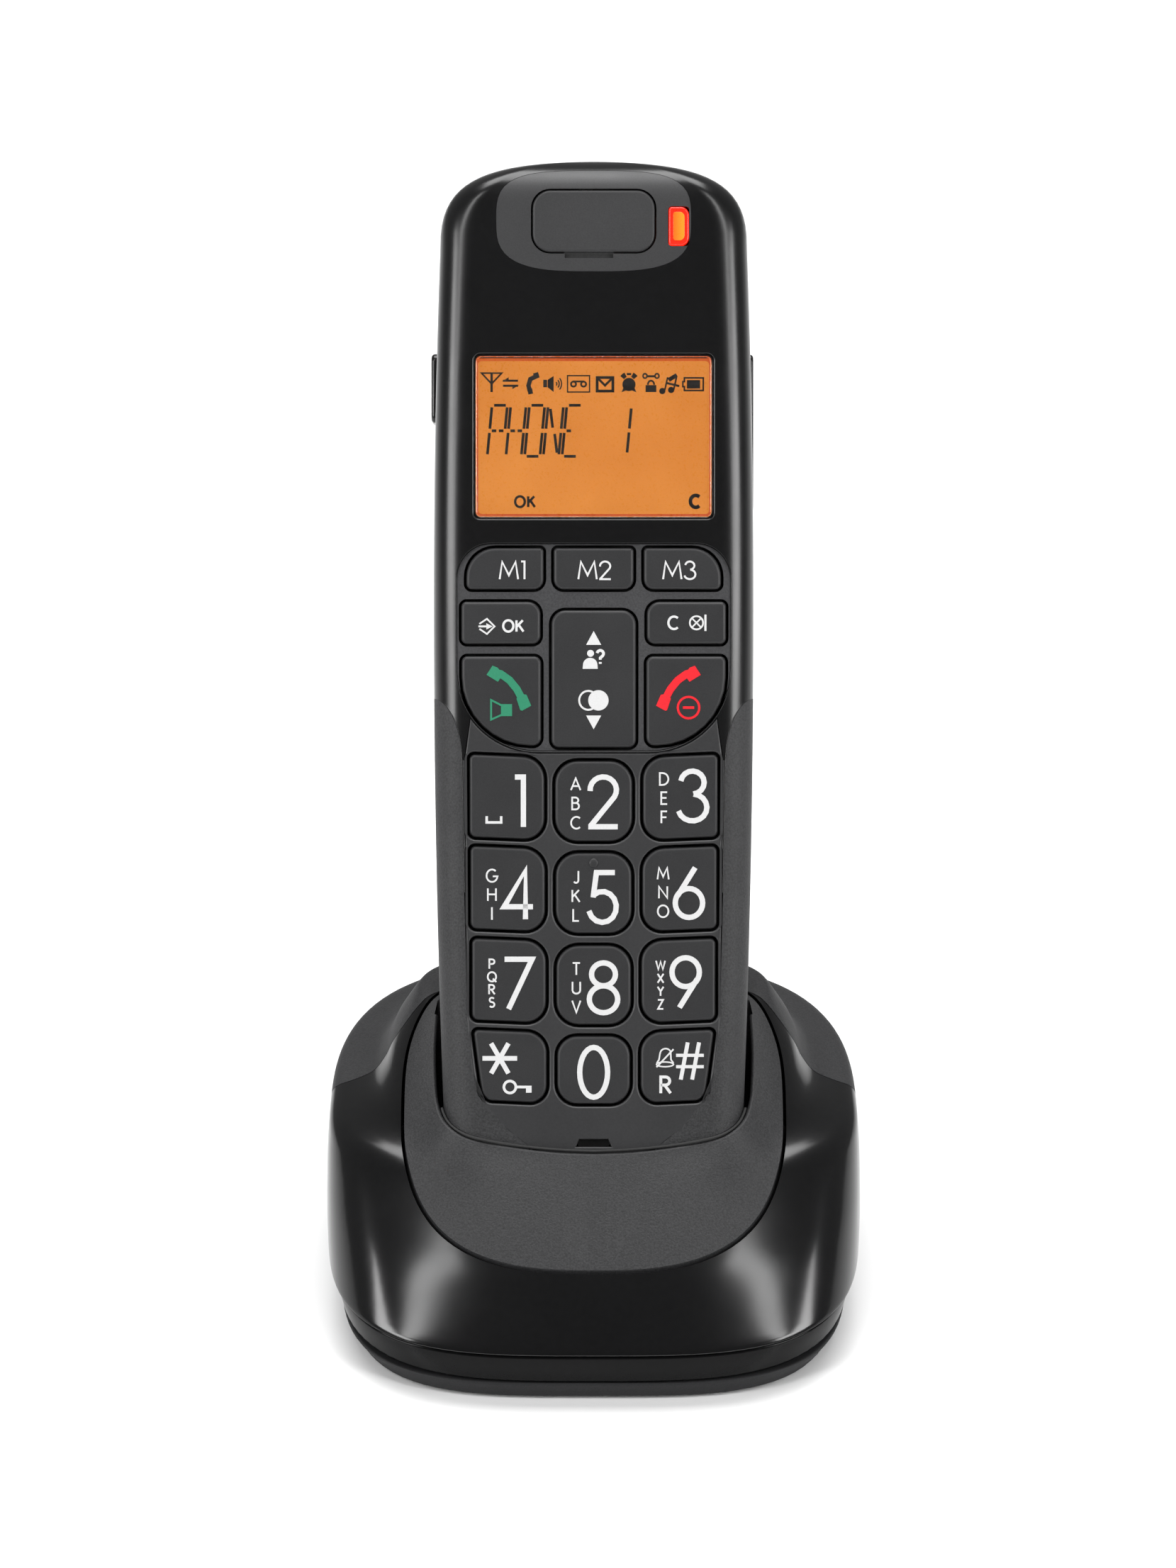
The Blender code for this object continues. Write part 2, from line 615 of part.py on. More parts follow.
MATERIALS = {
    "gloss": new_material("gloss_black_plastic", (0.012, 0.012, 0.013), 0.12),
    "matte": new_material("matte_grey_plastic", (0.045, 0.045, 0.048), 0.55),
    "grip": new_material("textured_grip_plastic", (0.03, 0.03, 0.032), 0.6),
    "web": new_material("satin_grey_web", (0.05, 0.05, 0.052), 0.4),
    "key": new_material("matte_black_key", (0.02, 0.02, 0.022), 0.5),
    "rubber": new_material("black_rubber", (0.015, 0.015, 0.015), 0.85),
    "lamp": new_material("red_lamp_lens", (0.9, 0.08, 0.02), 0.25),
    "window": new_material("clear_window", (0.8, 0.8, 0.78), 0.05),
    "display": new_material("orange_display", (0.8, 0.33, 0.07), 0.4),
    "board": new_material("circuit_board", (0.02, 0.13, 0.06), 0.5),
    "metal": new_material("plated_metal", (0.75, 0.73, 0.68), 0.3, 1.0),
    "cell": new_material("battery_sleeve", (0.05, 0.25, 0.12), 0.4),
    "socket": new_material("socket_plastic", (0.01, 0.01, 0.01), 0.5),
}

BASE = new_empty("base_frame", (0, BASE_SHIFT_Y, 0), 0)
SEAT = (HANDSET_SEAT[0], HANDSET_SEAT[1] + BASE_SHIFT_Y, HANDSET_SEAT[2])
HANDSET = new_empty("handset_frame", SEAT, -HANDSET_TILT)

make_handset_shells(HANDSET, MATERIALS)
make_earpiece(HANDSET, MATERIALS)
make_display(HANDSET, MATERIALS)
make_key_bezel(HANDSET, MATERIALS)
make_keys(HANDSET, MATERIALS["key"])
make_side_controls(HANDSET, MATERIALS)
make_handset_inside(HANDSET, MATERIALS)
make_base_shells(BASE, HANDSET, MATERIALS)
make_base_lower(BASE, MATERIALS)
make_base_inside(BASE, HANDSET, MATERIALS)
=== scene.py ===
"""Looks for the cordless phone with base: fine surfaces, printed keys, lit display and studio.

Shapes are made in millimetres, either in the handset's own frame (X across, Y front to back, Z along
its length) or in the base's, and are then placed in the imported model's frame.
"""
import json
import math

import bmesh
import bpy
from mathutils import Matrix, Quaternion, Vector
from mathutils.bvhtree import BVHTree
from mathutils.interpolate import poly_3d_calc


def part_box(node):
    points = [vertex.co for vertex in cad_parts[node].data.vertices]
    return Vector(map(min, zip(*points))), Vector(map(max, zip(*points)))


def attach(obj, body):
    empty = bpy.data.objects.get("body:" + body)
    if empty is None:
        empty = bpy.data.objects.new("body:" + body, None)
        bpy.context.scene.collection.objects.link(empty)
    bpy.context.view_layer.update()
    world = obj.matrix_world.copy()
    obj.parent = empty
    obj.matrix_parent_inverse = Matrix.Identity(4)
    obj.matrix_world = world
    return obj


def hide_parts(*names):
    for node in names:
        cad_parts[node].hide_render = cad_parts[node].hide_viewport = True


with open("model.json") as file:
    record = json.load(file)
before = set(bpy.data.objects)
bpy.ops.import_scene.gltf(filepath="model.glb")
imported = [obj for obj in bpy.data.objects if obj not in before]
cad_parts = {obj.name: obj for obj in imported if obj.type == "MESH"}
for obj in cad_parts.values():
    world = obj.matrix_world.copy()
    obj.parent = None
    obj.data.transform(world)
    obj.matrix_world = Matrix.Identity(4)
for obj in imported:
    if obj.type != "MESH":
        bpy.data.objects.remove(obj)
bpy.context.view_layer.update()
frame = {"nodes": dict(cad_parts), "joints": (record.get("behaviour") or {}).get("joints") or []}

MM = 0.001

# ---------------------------------------------------------------- frames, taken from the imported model

JOINTS = {joint["name"]: joint for joint in frame["joints"]}
ALONG = Vector(JOINTS["handset_lift"]["axis"])
TILT = math.atan2(ALONG.y, ALONG.z)
LEAN = Matrix.Rotation(-TILT, 4, "X")
NAV_PIVOT = Vector((0, -11.3, 83.9))
SEAT = Vector(JOINTS["nav_rock"]["pos_m"]) - LEAN @ (NAV_PIVOT * MM)
FOOT_LOW, FOOT_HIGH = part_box("foot_front_left")
FOOT_Y = -27.0
BASE_Y = (FOOT_LOW.y + FOOT_HIGH.y) / 2 - FOOT_Y * MM
HANDSET = Matrix.Translation(SEAT) @ LEAN @ Matrix.Scale(MM, 4)
BASE = Matrix.Translation((0, BASE_Y, 0)) @ Matrix.Scale(MM, 4)
HANDSET_IN_BASE = BASE.inverted() @ HANDSET
DEPTH_AXIS = Vector((0, 1, 0))

# ---------------------------------------------------------------- driving dimensions, millimetres

HALF_WIDTH, WIDEST_Z, UPPER_BEND, LOWER_BEND = 25.54, 96.0, 3.3e-4, 2.4e-4
HALF_DEPTH, FRONT_CORNER, BACK_CORNER = 13.5, 5.5, 8.0
TOP_Z, TOP_HEIGHT, TOP_EDGE = 152.0, 14.5, 6.0
BOTTOM_Z, BOTTOM_HEIGHT, BOTTOM_EDGE = 10.0, 10.0, 5.0
ARCH = 2.9
WALL = 1.8
ALL_ACROSS, ALL_ALONG = (-40, 40), (-5, 175)
CUT_Y = (-16.0, -11.0)
KEY_FRONT, KEY_BACK, KEY_GAP, KEY_ROUND = -13.35, -9.2, 0.42, 0.55
ROW_BOW = 0.0014
SHELL_SPLIT_Z = 71.0
SWEEP_POINTS = 17

FRONT_EXPONENT, REAR_EXPONENT, BASE_WALL = 3.4, 2.75, 2.0
SHOULDER_EASE = 0.75
BASE_STATIONS = (
    # height, half width, front, back, centre
    (9.0, 42.6, -42.0, 49.6, 2.0),
    (9.35, 42.9, -42.25, 49.9, 2.0),
    (10.0, 43.03, -42.0, 50.02, 2.0),
    (14.0, 43.2, -38.0, 50.1, 2.0),
    (18.5, 43.2, -33.2, 50.0, 2.0),
    (22.5, 43.1, -28.4, 49.8, 2.5),
    (25.5, 42.9, -24.6, 49.6, 3.0),
    (27.5, 42.6, -22.0, 49.2, 4.0),
    (28.7, 41.4, -20.4, 47.6, 5.0),
    (29.6, 38.6, -19.2, 43.6, 6.0),
    (31.0, 35.8, -17.4, 39.4, 7.0),
    (33.5, 33.9, -14.6, 35.2, 8.0),
    (36.5, 32.4, -9.0, 32.2, 11.0),
    (39.5, 30.2, 0.0, 29.8, 14.0),
    (41.3, 28.6, 6.0, 28.4, 16.0),
    (41.9, 27.2, 9.0, 27.2, 17.0),
    (42.0, 25.8, 11.0, 25.8, 17.5),
)
DISH_RADIUS, DISH_START, DISH_END = 80.0, (-33.0, 18.8), (-16.8, 31.0)
INSERT_HALF_WIDTH, INSERT_HALF_LENGTH, INSERT_Y, INSERT_EXPONENT = 30.3, 26.7, -6.0, 2.8
INSERT_GROOVE = 0.55
POCKET_CLEARANCE, CUP_WALL = 0.6, 2.0
PIN_X, PIN_Y = 7.0, 3.0


# ---------------------------------------------------------------- outlines

def arc(centre, radii, start, end, steps=12):
    """Points on an ellipse's arc, between two angles in degrees."""
    angles = [math.radians(start + (end - start) * i / steps) for i in range(steps + 1)]
    return [(centre[0] + radii[0] * math.cos(a), centre[1] + radii[1] * math.sin(a)) for a in angles]


def rounded(x, z, radii, steps=8):
    """A rectangle with its own radius at lower right, upper right, upper left and lower left."""
    corners = ((x[1], z[0], -1, 1), (x[1], z[1], -1, -1), (x[0], z[1], 1, -1), (x[0], z[0], 1, 1))
    points = []
    for index, ((cx, cz, sx, sz), radius) in enumerate(zip(corners, radii)):
        radius = max(radius, 0.02)
        start = -90 + 90 * index
        points += arc((cx + sx * radius, cz + sz * radius), (radius, radius), start, start + 90, steps)
    return points


def superellipse(half_x, low, high, centre, exponents, count):
    points = []
    for i in range(count):
        angle = 2 * math.pi * (i + 0.5) / count
        c, s = math.cos(angle), math.sin(angle)
        exponent = exponents[1] if s > 0 else exponents[0]
        reach = high - centre if s > 0 else centre - low
        power = abs(c / half_x) ** exponent + abs(s / reach) ** exponent
        radius = power ** (-1 / exponent)
        points.append((radius * c, centre + radius * s))
    return points


def catmull(stations, steps):
    """A smooth curve through tuples of numbers."""
    last = len(stations) - 1
    result = []
    for i in range(last):
        around = (stations[max(i - 1, 0)], stations[i], stations[i + 1], stations[min(i + 2, last)])
        for k in range(steps):
            t = k / steps
            result.append(tuple(
                0.5 * (2 * b + (c - a) * t + (2 * a - 5 * b + 4 * c - d) * t * t
                       + (3 * b - a - 3 * c + d) * t ** 3)
                for a, b, c, d in zip(*around)
            ))
    result.append(stations[-1])
    return result


# ---------------------------------------------------------------- meshes

def loft(rings):
    """A closed solid through rings of equally many points."""
    bm = bmesh.new()
    rows = [[bm.verts.new(point) for point in ring] for ring in rings]
    count = len(rings[0])
    for low, high in zip(rows, rows[1:]):
        for i in range(count):
            j = (i + 1) % count
            bm.faces.new((low[i], low[j], high[j], high[i]))
    bm.faces.new(rows[0][::-1])
    bm.faces.new(rows[-1])
    bmesh.ops.recalc_face_normals(bm, faces=bm.faces)
    return bm


def slab(outline, y):
    return loft([[(x, depth, z) for x, z in outline] for depth in y])


def tower(outline, z):
    return loft([[(x, y, height) for x, y in outline] for height in z])


def side_slab(outline, x):
    return loft([[(across, y, z) for y, z in outline] for across in x])


def block(x, y, z):
    return tower([(x[1], y[0]), (x[1], y[1]), (x[0], y[1]), (x[0], y[0])], z)


def rod(axis, centre, radius, length, count=32):
    """A round bar along Y or Z, centred on a point."""
    ring = arc((0, 0), (radius, radius), 0, 360 - 360 / count, count - 1)
    if axis == "Z":
        return tower([(centre[0] + a, centre[1] + b) for a, b in ring],
                     (centre[2] - length / 2, centre[2] + length / 2))
    return slab([(centre[0] + a, centre[2] + b) for a, b in ring],
                (centre[1] - length / 2, centre[1] + length / 2))


def join(pieces):
    whole = bmesh.new()
    for piece in pieces:
        mesh = bpy.data.meshes.new("piece")
        piece.to_mesh(mesh)
        piece.free()
        whole.from_mesh(mesh)
        bpy.data.meshes.remove(mesh)
    return whole


def moved(bm, matrix):
    bmesh.ops.transform(bm, matrix=matrix, verts=bm.verts)
    return bm


def temporary(bm):
    mesh = bpy.data.meshes.new("temporary")
    bm.to_mesh(mesh)
    obj = bpy.data.objects.new("temporary", mesh)
    bpy.context.scene.collection.objects.link(obj)
    return obj


def discard(objects):
    for obj in objects:
        mesh = obj.data
        bpy.data.objects.remove(obj)
        bpy.data.meshes.remove(mesh)


def cut(start, *steps):
    """The shape that is left of a bmesh after (operation, bmesh) steps."""
    target = temporary(start)
    tools = []
    for operation, other in steps:
        tool = temporary(other)
        modifier = target.modifiers.new(operation, "BOOLEAN")
        modifier.operation = operation
        modifier.solver = "MANIFOLD"
        modifier.object = tool
        tools.append(tool)
    graph = bpy.context.evaluated_depsgraph_get()
    mesh = bpy.data.meshes.new_from_object(target.evaluated_get(graph))
    result = bmesh.new()
    result.from_mesh(mesh)
    bpy.data.meshes.remove(mesh)
    discard([target, *tools])
    return result


class Form:
    """A smooth closed form that pieces are cut from. It lends them its own normals."""

    def __init__(self, bm):
        bm.normal_update()
        bm.faces.ensure_lookup_table()
        self.bm = bm
        self.tree = BVHTree.FromBMesh(bm)

    def at(self, point, reach=0.02):
        """The form's smooth normal at a point on it, or None away from it."""
        place, normal, index, _ = self.tree.find_nearest(point, reach)
        if place is None:
            return None
        face = self.bm.faces[index]
        if len(face.verts) > 4:
            return face.normal.copy()
        weights = poly_3d_calc([v.co for v in face.verts], place)
        return sum((v.normal * w for v, w in zip(face.verts, weights)), Vector()).normalized()

    def hit(self, origin, direction):
        return self.tree.ray_cast(Vector(origin), Vector(direction))


def shade(mesh, forms, sharp, flat):
    """Smooth shading that follows the smooth forms and keeps flat faces flat."""
    mesh.shade_smooth()
    mesh.set_sharp_from_angle(angle=math.radians(sharp))
    normals = []
    for polygon in mesh.polygons:
        own = polygon.normal
        plain = flat is not None and abs(own.dot(flat)) > 0.9999
        for index in polygon.loop_indices:
            point = mesh.vertices[mesh.loops[index].vertex_index].co
            chosen = own if plain else Vector((0, 0, 0))
            for form in forms:
                found = None if plain else form.at(point)
                if found is not None and found.dot(own) > 0.85:
                    chosen = found
                    break
            normals.append(chosen)
    mesh.normals_split_custom_set(normals)


def piece(name, bm, where, material, body, slot, replaces=(), forms=(), sharp=32, flat=None):
    """One visual piece: a bmesh in millimetres, placed, shaded and tied to its body."""
    bmesh.ops.recalc_face_normals(bm, faces=bm.faces)
    mesh = bpy.data.meshes.new(name)
    bm.to_mesh(mesh)
    bm.free()
    shade(mesh, forms, sharp, flat)
    mesh.transform(where)
    mesh.materials.append(material)
    obj = bpy.data.objects.new(name, mesh)
    bpy.context.scene.collection.objects.link(obj)
    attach(obj, body)
    if replaces:
        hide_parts(*replaces)
    return obj


def on_handset(name, bm, material, slot, replaces=(), forms=(), **shading):
    """A piece in the handset's frame that is fixed to the handset."""
    return piece(name, bm, HANDSET, material, "handset", slot, replaces, forms, **shading)


def on_base(name, bm, material, slot, replaces=(), forms=(), **shading):
    """A piece in the base's frame that is fixed to the base."""
    return piece(name, bm, BASE, material, "base", slot, replaces, forms, **shading)


def beam(points, normals, radius, closed, count=8):
    """A round bead along points, kept just under the surface that the normals point out of."""
    bm = bmesh.new()
    rows = []
    total = len(points)
    for i, (point, normal) in enumerate(zip(points, normals)):
        before = points[(i - 1) % total] if closed or i else point
        after = points[(i + 1) % total] if closed or i < total - 1 else point
        along = (after - before).normalized()
        side = along.cross(normal).normalized()
        lift = side.cross(along).normalized()
        centre = point - normal * radius
        row = []
        for k in range(count):
            angle = 2 * math.pi * k / count
            row.append(bm.verts.new(centre + (side * math.cos(angle) + lift * math.sin(angle)) * radius))
        rows.append(row)
    pairs = list(zip(rows, rows[1:]))
    if closed:
        pairs.append((rows[-1], rows[0]))
    for low, high in pairs:
        for k in range(count):
            bm.faces.new((low[k], low[(k + 1) % count], high[(k + 1) % count], high[k]))
    if not closed:
        bm.faces.new(rows[0][::-1])
        bm.faces.new(rows[-1])
    bmesh.ops.recalc_face_normals(bm, faces=bm.faces)
    return bm


def rim(form, outline, start, direction, radius, closed=True, keep=None):
    """A bead where an outline, seen along a direction, meets a form."""
    points = []
    normals = []
    for spot in outline:
        place, normal, _, _ = form.hit(start(*spot), direction)
        if place is None or (keep and not keep(place)):
            continue
        points.append(place)
        normals.append(form.at(place) or normal)
    return beam(points, normals, radius, closed)


def plate(outer, holes, front, depth, bevel):
    """A flat plate facing -Y whose outer edge and holes all have rounded rims."""
    curve = bpy.data.curves.new("plate", "CURVE")
    curve.dimensions = "2D"
    curve.fill_mode = "BOTH"
    curve.extrude = depth / 2 - bevel
    curve.bevel_depth = bevel
    curve.bevel_resolution = 3
    curve.offset = -bevel
    for index, outline in enumerate([outer, *holes]):
        area = sum(x0 * z1 - x1 * z0 for (x0, z0), (x1, z1) in zip(outline, outline[1:] + outline[:1]))
        anticlockwise = area > 0
        if anticlockwise == bool(index):
            outline = outline[::-1]
        spline = curve.splines.new("POLY")
        spline.points.add(len(outline) - 1)
        for point, (x, z) in zip(spline.points, outline):
            point.co = (x, z, 0, 1)
        spline.use_cyclic_u = True
    obj = bpy.data.objects.new("plate", curve)
    bpy.context.scene.collection.objects.link(obj)
    graph = bpy.context.evaluated_depsgraph_get()
    mesh = bpy.data.meshes.new_from_object(obj.evaluated_get(graph))
    bpy.data.objects.remove(obj)
    bpy.data.curves.remove(curve)
    bm = bmesh.new()
    bm.from_mesh(mesh)
    bpy.data.meshes.remove(mesh)
    bmesh.ops.remove_doubles(bm, verts=bm.verts, dist=0.004)
    bmesh.ops.rotate(bm, verts=bm.verts, matrix=Matrix.Rotation(math.pi / 2, 3, "X"))
    bmesh.ops.translate(bm, verts=bm.verts, vec=(0, front + depth / 2, 0))
    return bm


# ---------------------------------------------------------------- materials

def graph_of(name):
    material = bpy.data.materials.new(name)
    material.use_nodes = True
    return material, material.node_tree, material.node_tree.nodes["Principled BSDF"]


def link(tree, start, end):
    tree.links.new(start, end)


def noise(tree, scale, detail=3.0, roughness=0.55):
    place = tree.nodes.new("ShaderNodeTexCoord")
    node = tree.nodes.new("ShaderNodeTexNoise")
    node.inputs["Scale"].default_value = scale
    node.inputs["Detail"].default_value = detail
    node.inputs["Roughness"].default_value = roughness
    link(tree, place.outputs["Object"], node.inputs["Vector"])
    return node.outputs["Fac"]


def mapped(tree, value, low, high, start=0.3, end=0.7):
    node = tree.nodes.new("ShaderNodeMapRange")
    node.inputs["From Min"].default_value = start
    node.inputs["From Max"].default_value = end
    node.inputs["To Min"].default_value = low
    node.inputs["To Max"].default_value = high
    link(tree, value, node.inputs["Value"])
    return node.outputs["Result"]


def tinted(tree, factor, first, second):
    node = tree.nodes.new("ShaderNodeMix")
    node.data_type = "RGBA"
    node.inputs["A"].default_value = (*first, 1.0)
    node.inputs["B"].default_value = (*second, 1.0)
    link(tree, factor, node.inputs["Factor"])
    return node.outputs["Result"]


def moulded(name, colour, roughness, grain=4000.0, depth=0.00001, strength=0.3, mottle=0.15,
            spread=0.04, specular=0.5, metallic=0.0):
    """Moulded plastic, rubber or plate: grain in relief, mottled colour and uneven roughness."""
    material, tree, shader = graph_of(name)
    fine = noise(tree, grain, 2.0)
    broad = noise(tree, 90.0, 4.0)
    darker = tuple(c * (1 - mottle) for c in colour)
    lighter = tuple(min(c * (1 + mottle), 1.0) for c in colour)
    link(tree, tinted(tree, mapped(tree, fine, 0, 1), darker, lighter), shader.inputs["Base Color"])
    rough = mapped(tree, broad, max(roughness - spread, 0.02), roughness + spread)
    link(tree, rough, shader.inputs["Roughness"])
    bump = tree.nodes.new("ShaderNodeBump")
    bump.inputs["Distance"].default_value = depth
    bump.inputs["Strength"].default_value = strength
    link(tree, fine, bump.inputs["Height"])
    link(tree, bump.outputs["Normal"], shader.inputs["Normal"])
    shader.inputs["Specular IOR Level"].default_value = specular
    shader.inputs["Metallic"].default_value = metallic
    return material


def glowing(name, first, second, strength, across=None, roughness=0.3):
    """A lit surface whose colour changes between two tones with broad, soft variation."""
    material, tree, shader = graph_of(name)
    if across:
        node, low, high = across
        place = tree.nodes.new("ShaderNodeTexCoord")
        split = tree.nodes.new("ShaderNodeSeparateXYZ")
        link(tree, place.outputs["Object"], split.inputs["Vector"])
        factor = mapped(tree, split.outputs[node], 0.0, 1.0, low, high)
    else:
        factor = mapped(tree, noise(tree, 60.0, 2.0), 0.0, 1.0)
    colour = tinted(tree, factor, first, second)
    link(tree, colour, shader.inputs["Emission Color"])
    shader.inputs["Emission Strength"].default_value = strength
    shader.inputs["Base Color"].default_value = (*[c * 0.3 for c in first], 1.0)
    rough = mapped(tree, noise(tree, 3000.0), roughness - 0.05, roughness + 0.05)
    link(tree, rough, shader.inputs["Roughness"])
    return material


def clear(name, tint):
    material, tree, shader = graph_of(name)
    shader.inputs["Base Color"].default_value = (*tint, 1.0)
    shader.inputs["Transmission Weight"].default_value = 1.0
    shader.inputs["IOR"].default_value = 1.45
    link(tree, mapped(tree, noise(tree, 120.0), 0.0, 0.02), shader.inputs["Roughness"])
    return material


def polished(name, roughness, specular):
    """High gloss black plastic, with hardly any grain."""
    return moulded(name, (0.004, 0.004, 0.0042), roughness, 900.0, 0.000004, 0.05, 0.1, 0.02, specular)


GLOSS = polished("gloss_black", 0.25, 0.35)
BASE_GLOSS = polished("base_gloss_black", 0.16, 0.35)
SKIRT_GLOSS = polished("skirt_gloss_black", 0.16, 0.1)
SATIN = moulded("satin_panel", (0.026, 0.026, 0.027), 0.42, 2600.0, 0.00001, 0.12, 0.08, specular=0.4)
WEB = moulded("textured_web", (0.034, 0.034, 0.036), 0.55, 3600.0, 0.00003, 0.5, 0.25, specular=0.4)
GRIP = moulded("textured_grip", (0.022, 0.022, 0.023), 0.6, 3200.0, 0.00006, 1.0, 0.4, specular=0.35)
MATTE = moulded("matte_grey", (0.018, 0.018, 0.019), 0.55, 3400.0, 0.00006, 1.0, 0.4, specular=0.3)
DECK = moulded("matte_deck", (0.02, 0.02, 0.021), 0.58, 3400.0, 0.00006, 1.0, 0.4, specular=0.3)
UNDER = moulded("matte_underside", (0.014, 0.014, 0.015), 0.6, 3800.0, 0.00003, 0.4, 0.2, specular=0.3)
EARPIECE = moulded("soft_earpiece", (0.026, 0.026, 0.027), 0.5, 4200.0, 0.00002, 0.3, 0.12, specular=0.4)
KEY = moulded("key_black", (0.017, 0.017, 0.018), 0.5, 4200.0, 0.00001, 0.3, 0.12, specular=0.4)
RUBBER = moulded("black_rubber", (0.013, 0.013, 0.013), 0.8, 2500.0, 0.00004, 0.5, 0.2)
SOCKET = moulded("socket_black", (0.01, 0.01, 0.01), 0.45, 2500.0, 0.00001, 0.3, 0.15)
BOARD = moulded("circuit_board", (0.02, 0.13, 0.06), 0.45, 1200.0, 0.00002, 0.4, 0.3)
METAL = moulded("nickel_plate", (0.72, 0.70, 0.65), 0.28, 2000.0, 0.000005, 0.2, 0.06, metallic=1.0)
GOLD = moulded("gold_plate", (0.85, 0.62, 0.28), 0.25, 2000.0, 0.000005, 0.2, 0.06, metallic=1.0)
SLEEVE = moulded("battery_film", (0.05, 0.25, 0.12), 0.3, 800.0, 0.00001, 0.2, 0.1)
INK_WHITE = moulded("ink_light_grey", (0.56, 0.56, 0.56), 0.5, 5000.0, 0.000005, 0.2, 0.04, specular=0.3)
INK_GREEN = moulded("ink_green", (0.018, 0.19, 0.10), 0.5, 5000.0, 0.000005, 0.2, 0.05)
INK_RED = moulded("ink_red", (0.62, 0.006, 0.014), 0.5, 5000.0, 0.000005, 0.2, 0.05)
CRYSTAL = moulded("display_crystal", (0.006, 0.004, 0.003), 0.5, 3000.0, 0.000005, 0.2, 0.2)
FRAME = moulded("display_frame", (0.01, 0.008, 0.008), 0.4, 3000.0, 0.00001, 0.3, 0.2)
BACKLIGHT = glowing("display_backlight", (0.76, 0.265, 0.045), (0.66, 0.205, 0.025), 0.86)
EDGE_GLOW = glowing("display_edge_glow", (0.50, 0.06, 0.01), (0.62, 0.12, 0.015), 0.9)
LAMP = glowing("lamp_lens", (1.0, 0.012, 0.003), (1.0, 0.02, 0.004), 1.0)
LAMP_CORE = glowing("lamp_core", (1.0, 0.10, 0.006), (1.0, 0.32, 0.02), 1.05, ("X", 0.0124, 0.0140))
WINDOW = clear("clear_window", (0.98, 0.98, 0.97))


# ---------------------------------------------------------------- forms

def half_width(z):
    bend = UPPER_BEND if z > WIDEST_Z else LOWER_BEND
    return HALF_WIDTH - bend * (z - WIDEST_Z) ** 2


def handset_section(z, width, offset, edge, radius):
    """One cross-section: the depth shrinks towards the rounded end, edge away from it."""
    depth = HALF_DEPTH + offset
    if edge < radius:
        depth += math.sqrt(max(radius ** 2 - (radius - edge) ** 2, 0.0)) - radius
    points = []
    for index in range(4):
        side = 1 if index in (0, 1) else -1
        back = index in (1, 2)
        wanted = (BACK_CORNER if back else FRONT_CORNER) + offset
        fillet = min(wanted, 0.95 * width, 0.95 * depth)
        centre = (side * (width - fillet), (1 if back else -1) * (depth - fillet))
        start = -90 + 90 * index
        points += arc(centre, (fillet, fillet), start, start + 90, 10)
    return [(x, y, z) for x, y in points]


def handset_rings(offset, steps=18):
    rings = []
    turns = [math.radians(90 * (i + 0.35) / (steps + 0.35)) for i in range(steps)]
    for turn in turns:
        share = math.sin(turn) ** (2 / ARCH)
        rise = (BOTTOM_HEIGHT + offset) * (1 - math.cos(turn) ** (2 / ARCH))
        width = share * (half_width(BOTTOM_Z) + offset)
        z = BOTTOM_Z - BOTTOM_HEIGHT - offset + rise
        rings.append(handset_section(z, width, offset, rise, BOTTOM_EDGE + offset))
    count = 36
    for i in range(count + 1):
        z = BOTTOM_Z + (TOP_Z - BOTTOM_Z) * i / count
        rings.append(handset_section(z, half_width(z) + offset, offset, z, 0.0))
    for turn in reversed(turns):
        share = math.sin(turn) ** (2 / ARCH)
        drop = (TOP_HEIGHT + offset) * (1 - math.cos(turn) ** (2 / ARCH))
        width = share * (half_width(TOP_Z) + offset)
        z = TOP_Z + TOP_HEIGHT + offset - drop
        rings.append(handset_section(z, width, offset, drop, TOP_EDGE + offset))
    return rings


def handset_form(offset=0.0):
    return loft(handset_rings(offset))


def base_form(offset=0.0, floor=None, steps=4, count=144):
    rings = []
    for station in catmull(BASE_STATIONS, steps):
        height, width, front, back, centre = station
        z = height + offset
        if floor is not None:
            z = floor if height <= BASE_STATIONS[0][0] else z
            if height < 11.0 and height > BASE_STATIONS[0][0]:
                continue
        share = min(max((height - 9.0) / 22.0, 0.0), 1.0)
        front_exponent = FRONT_EXPONENT - SHOULDER_EASE * share
        ring = superellipse(width + offset, front - offset, back + offset, centre,
                            (front_exponent, REAR_EXPONENT), count)
        rings.append([(x, y, z) for x, y in ring])
    return loft(rings)


def cheeked(bm):
    """The insert swells beside the handset's chin, which gives the pocket its smile-shaped front."""
    height, across, spread, along, reach = 2.3, 22.5, 4.6, -14.5, 5.0
    for v in bm.verts:
        near = ((abs(v.co.x) - across) / spread) ** 2 + ((v.co.y - along) / reach) ** 2
        v.co.z += height * math.exp(-near)
    return bm


def smile(grow):
    """The pocket's front edge as the handset's front shows it: low at the middle, up at the sides."""
    half = [(0.0, 9.1), (6.0, 9.35), (12.3, 10.0), (18.0, 11.0), (21.2, 12.0), (23.4, 13.6), (24.6, 16.5),
            (25.0, 20.0), (25.2, 25.0), (25.0, 30.0)]
    half = [(x + (grow if x > 23.0 else 0.0), z - grow * (1.0 if x < 23.0 else 0.3)) for x, z in half]
    right = catmull(half, 6)
    return [(-x, z) for x, z in reversed(right[1:])] + right


def dish(grow):
    """The wide shallow trough that lowers the middle of the insert towards the pocket."""
    rise = Vector((0, DISH_END[0] - DISH_START[0], DISH_END[1] - DISH_START[1])).normalized()
    lift = Vector((0, -rise.z, rise.y))
    bm = rod("Z", (0, 0, 0), DISH_RADIUS + grow, 70.0, 512)
    turn = Vector((0, 0, 1)).rotation_difference(rise).to_matrix()
    bmesh.ops.rotate(bm, verts=bm.verts, matrix=turn)
    centre = Vector((0, *DISH_END)) + lift * DISH_RADIUS - rise * 5.0
    bmesh.ops.translate(bm, verts=bm.verts, vec=centre)
    return bm


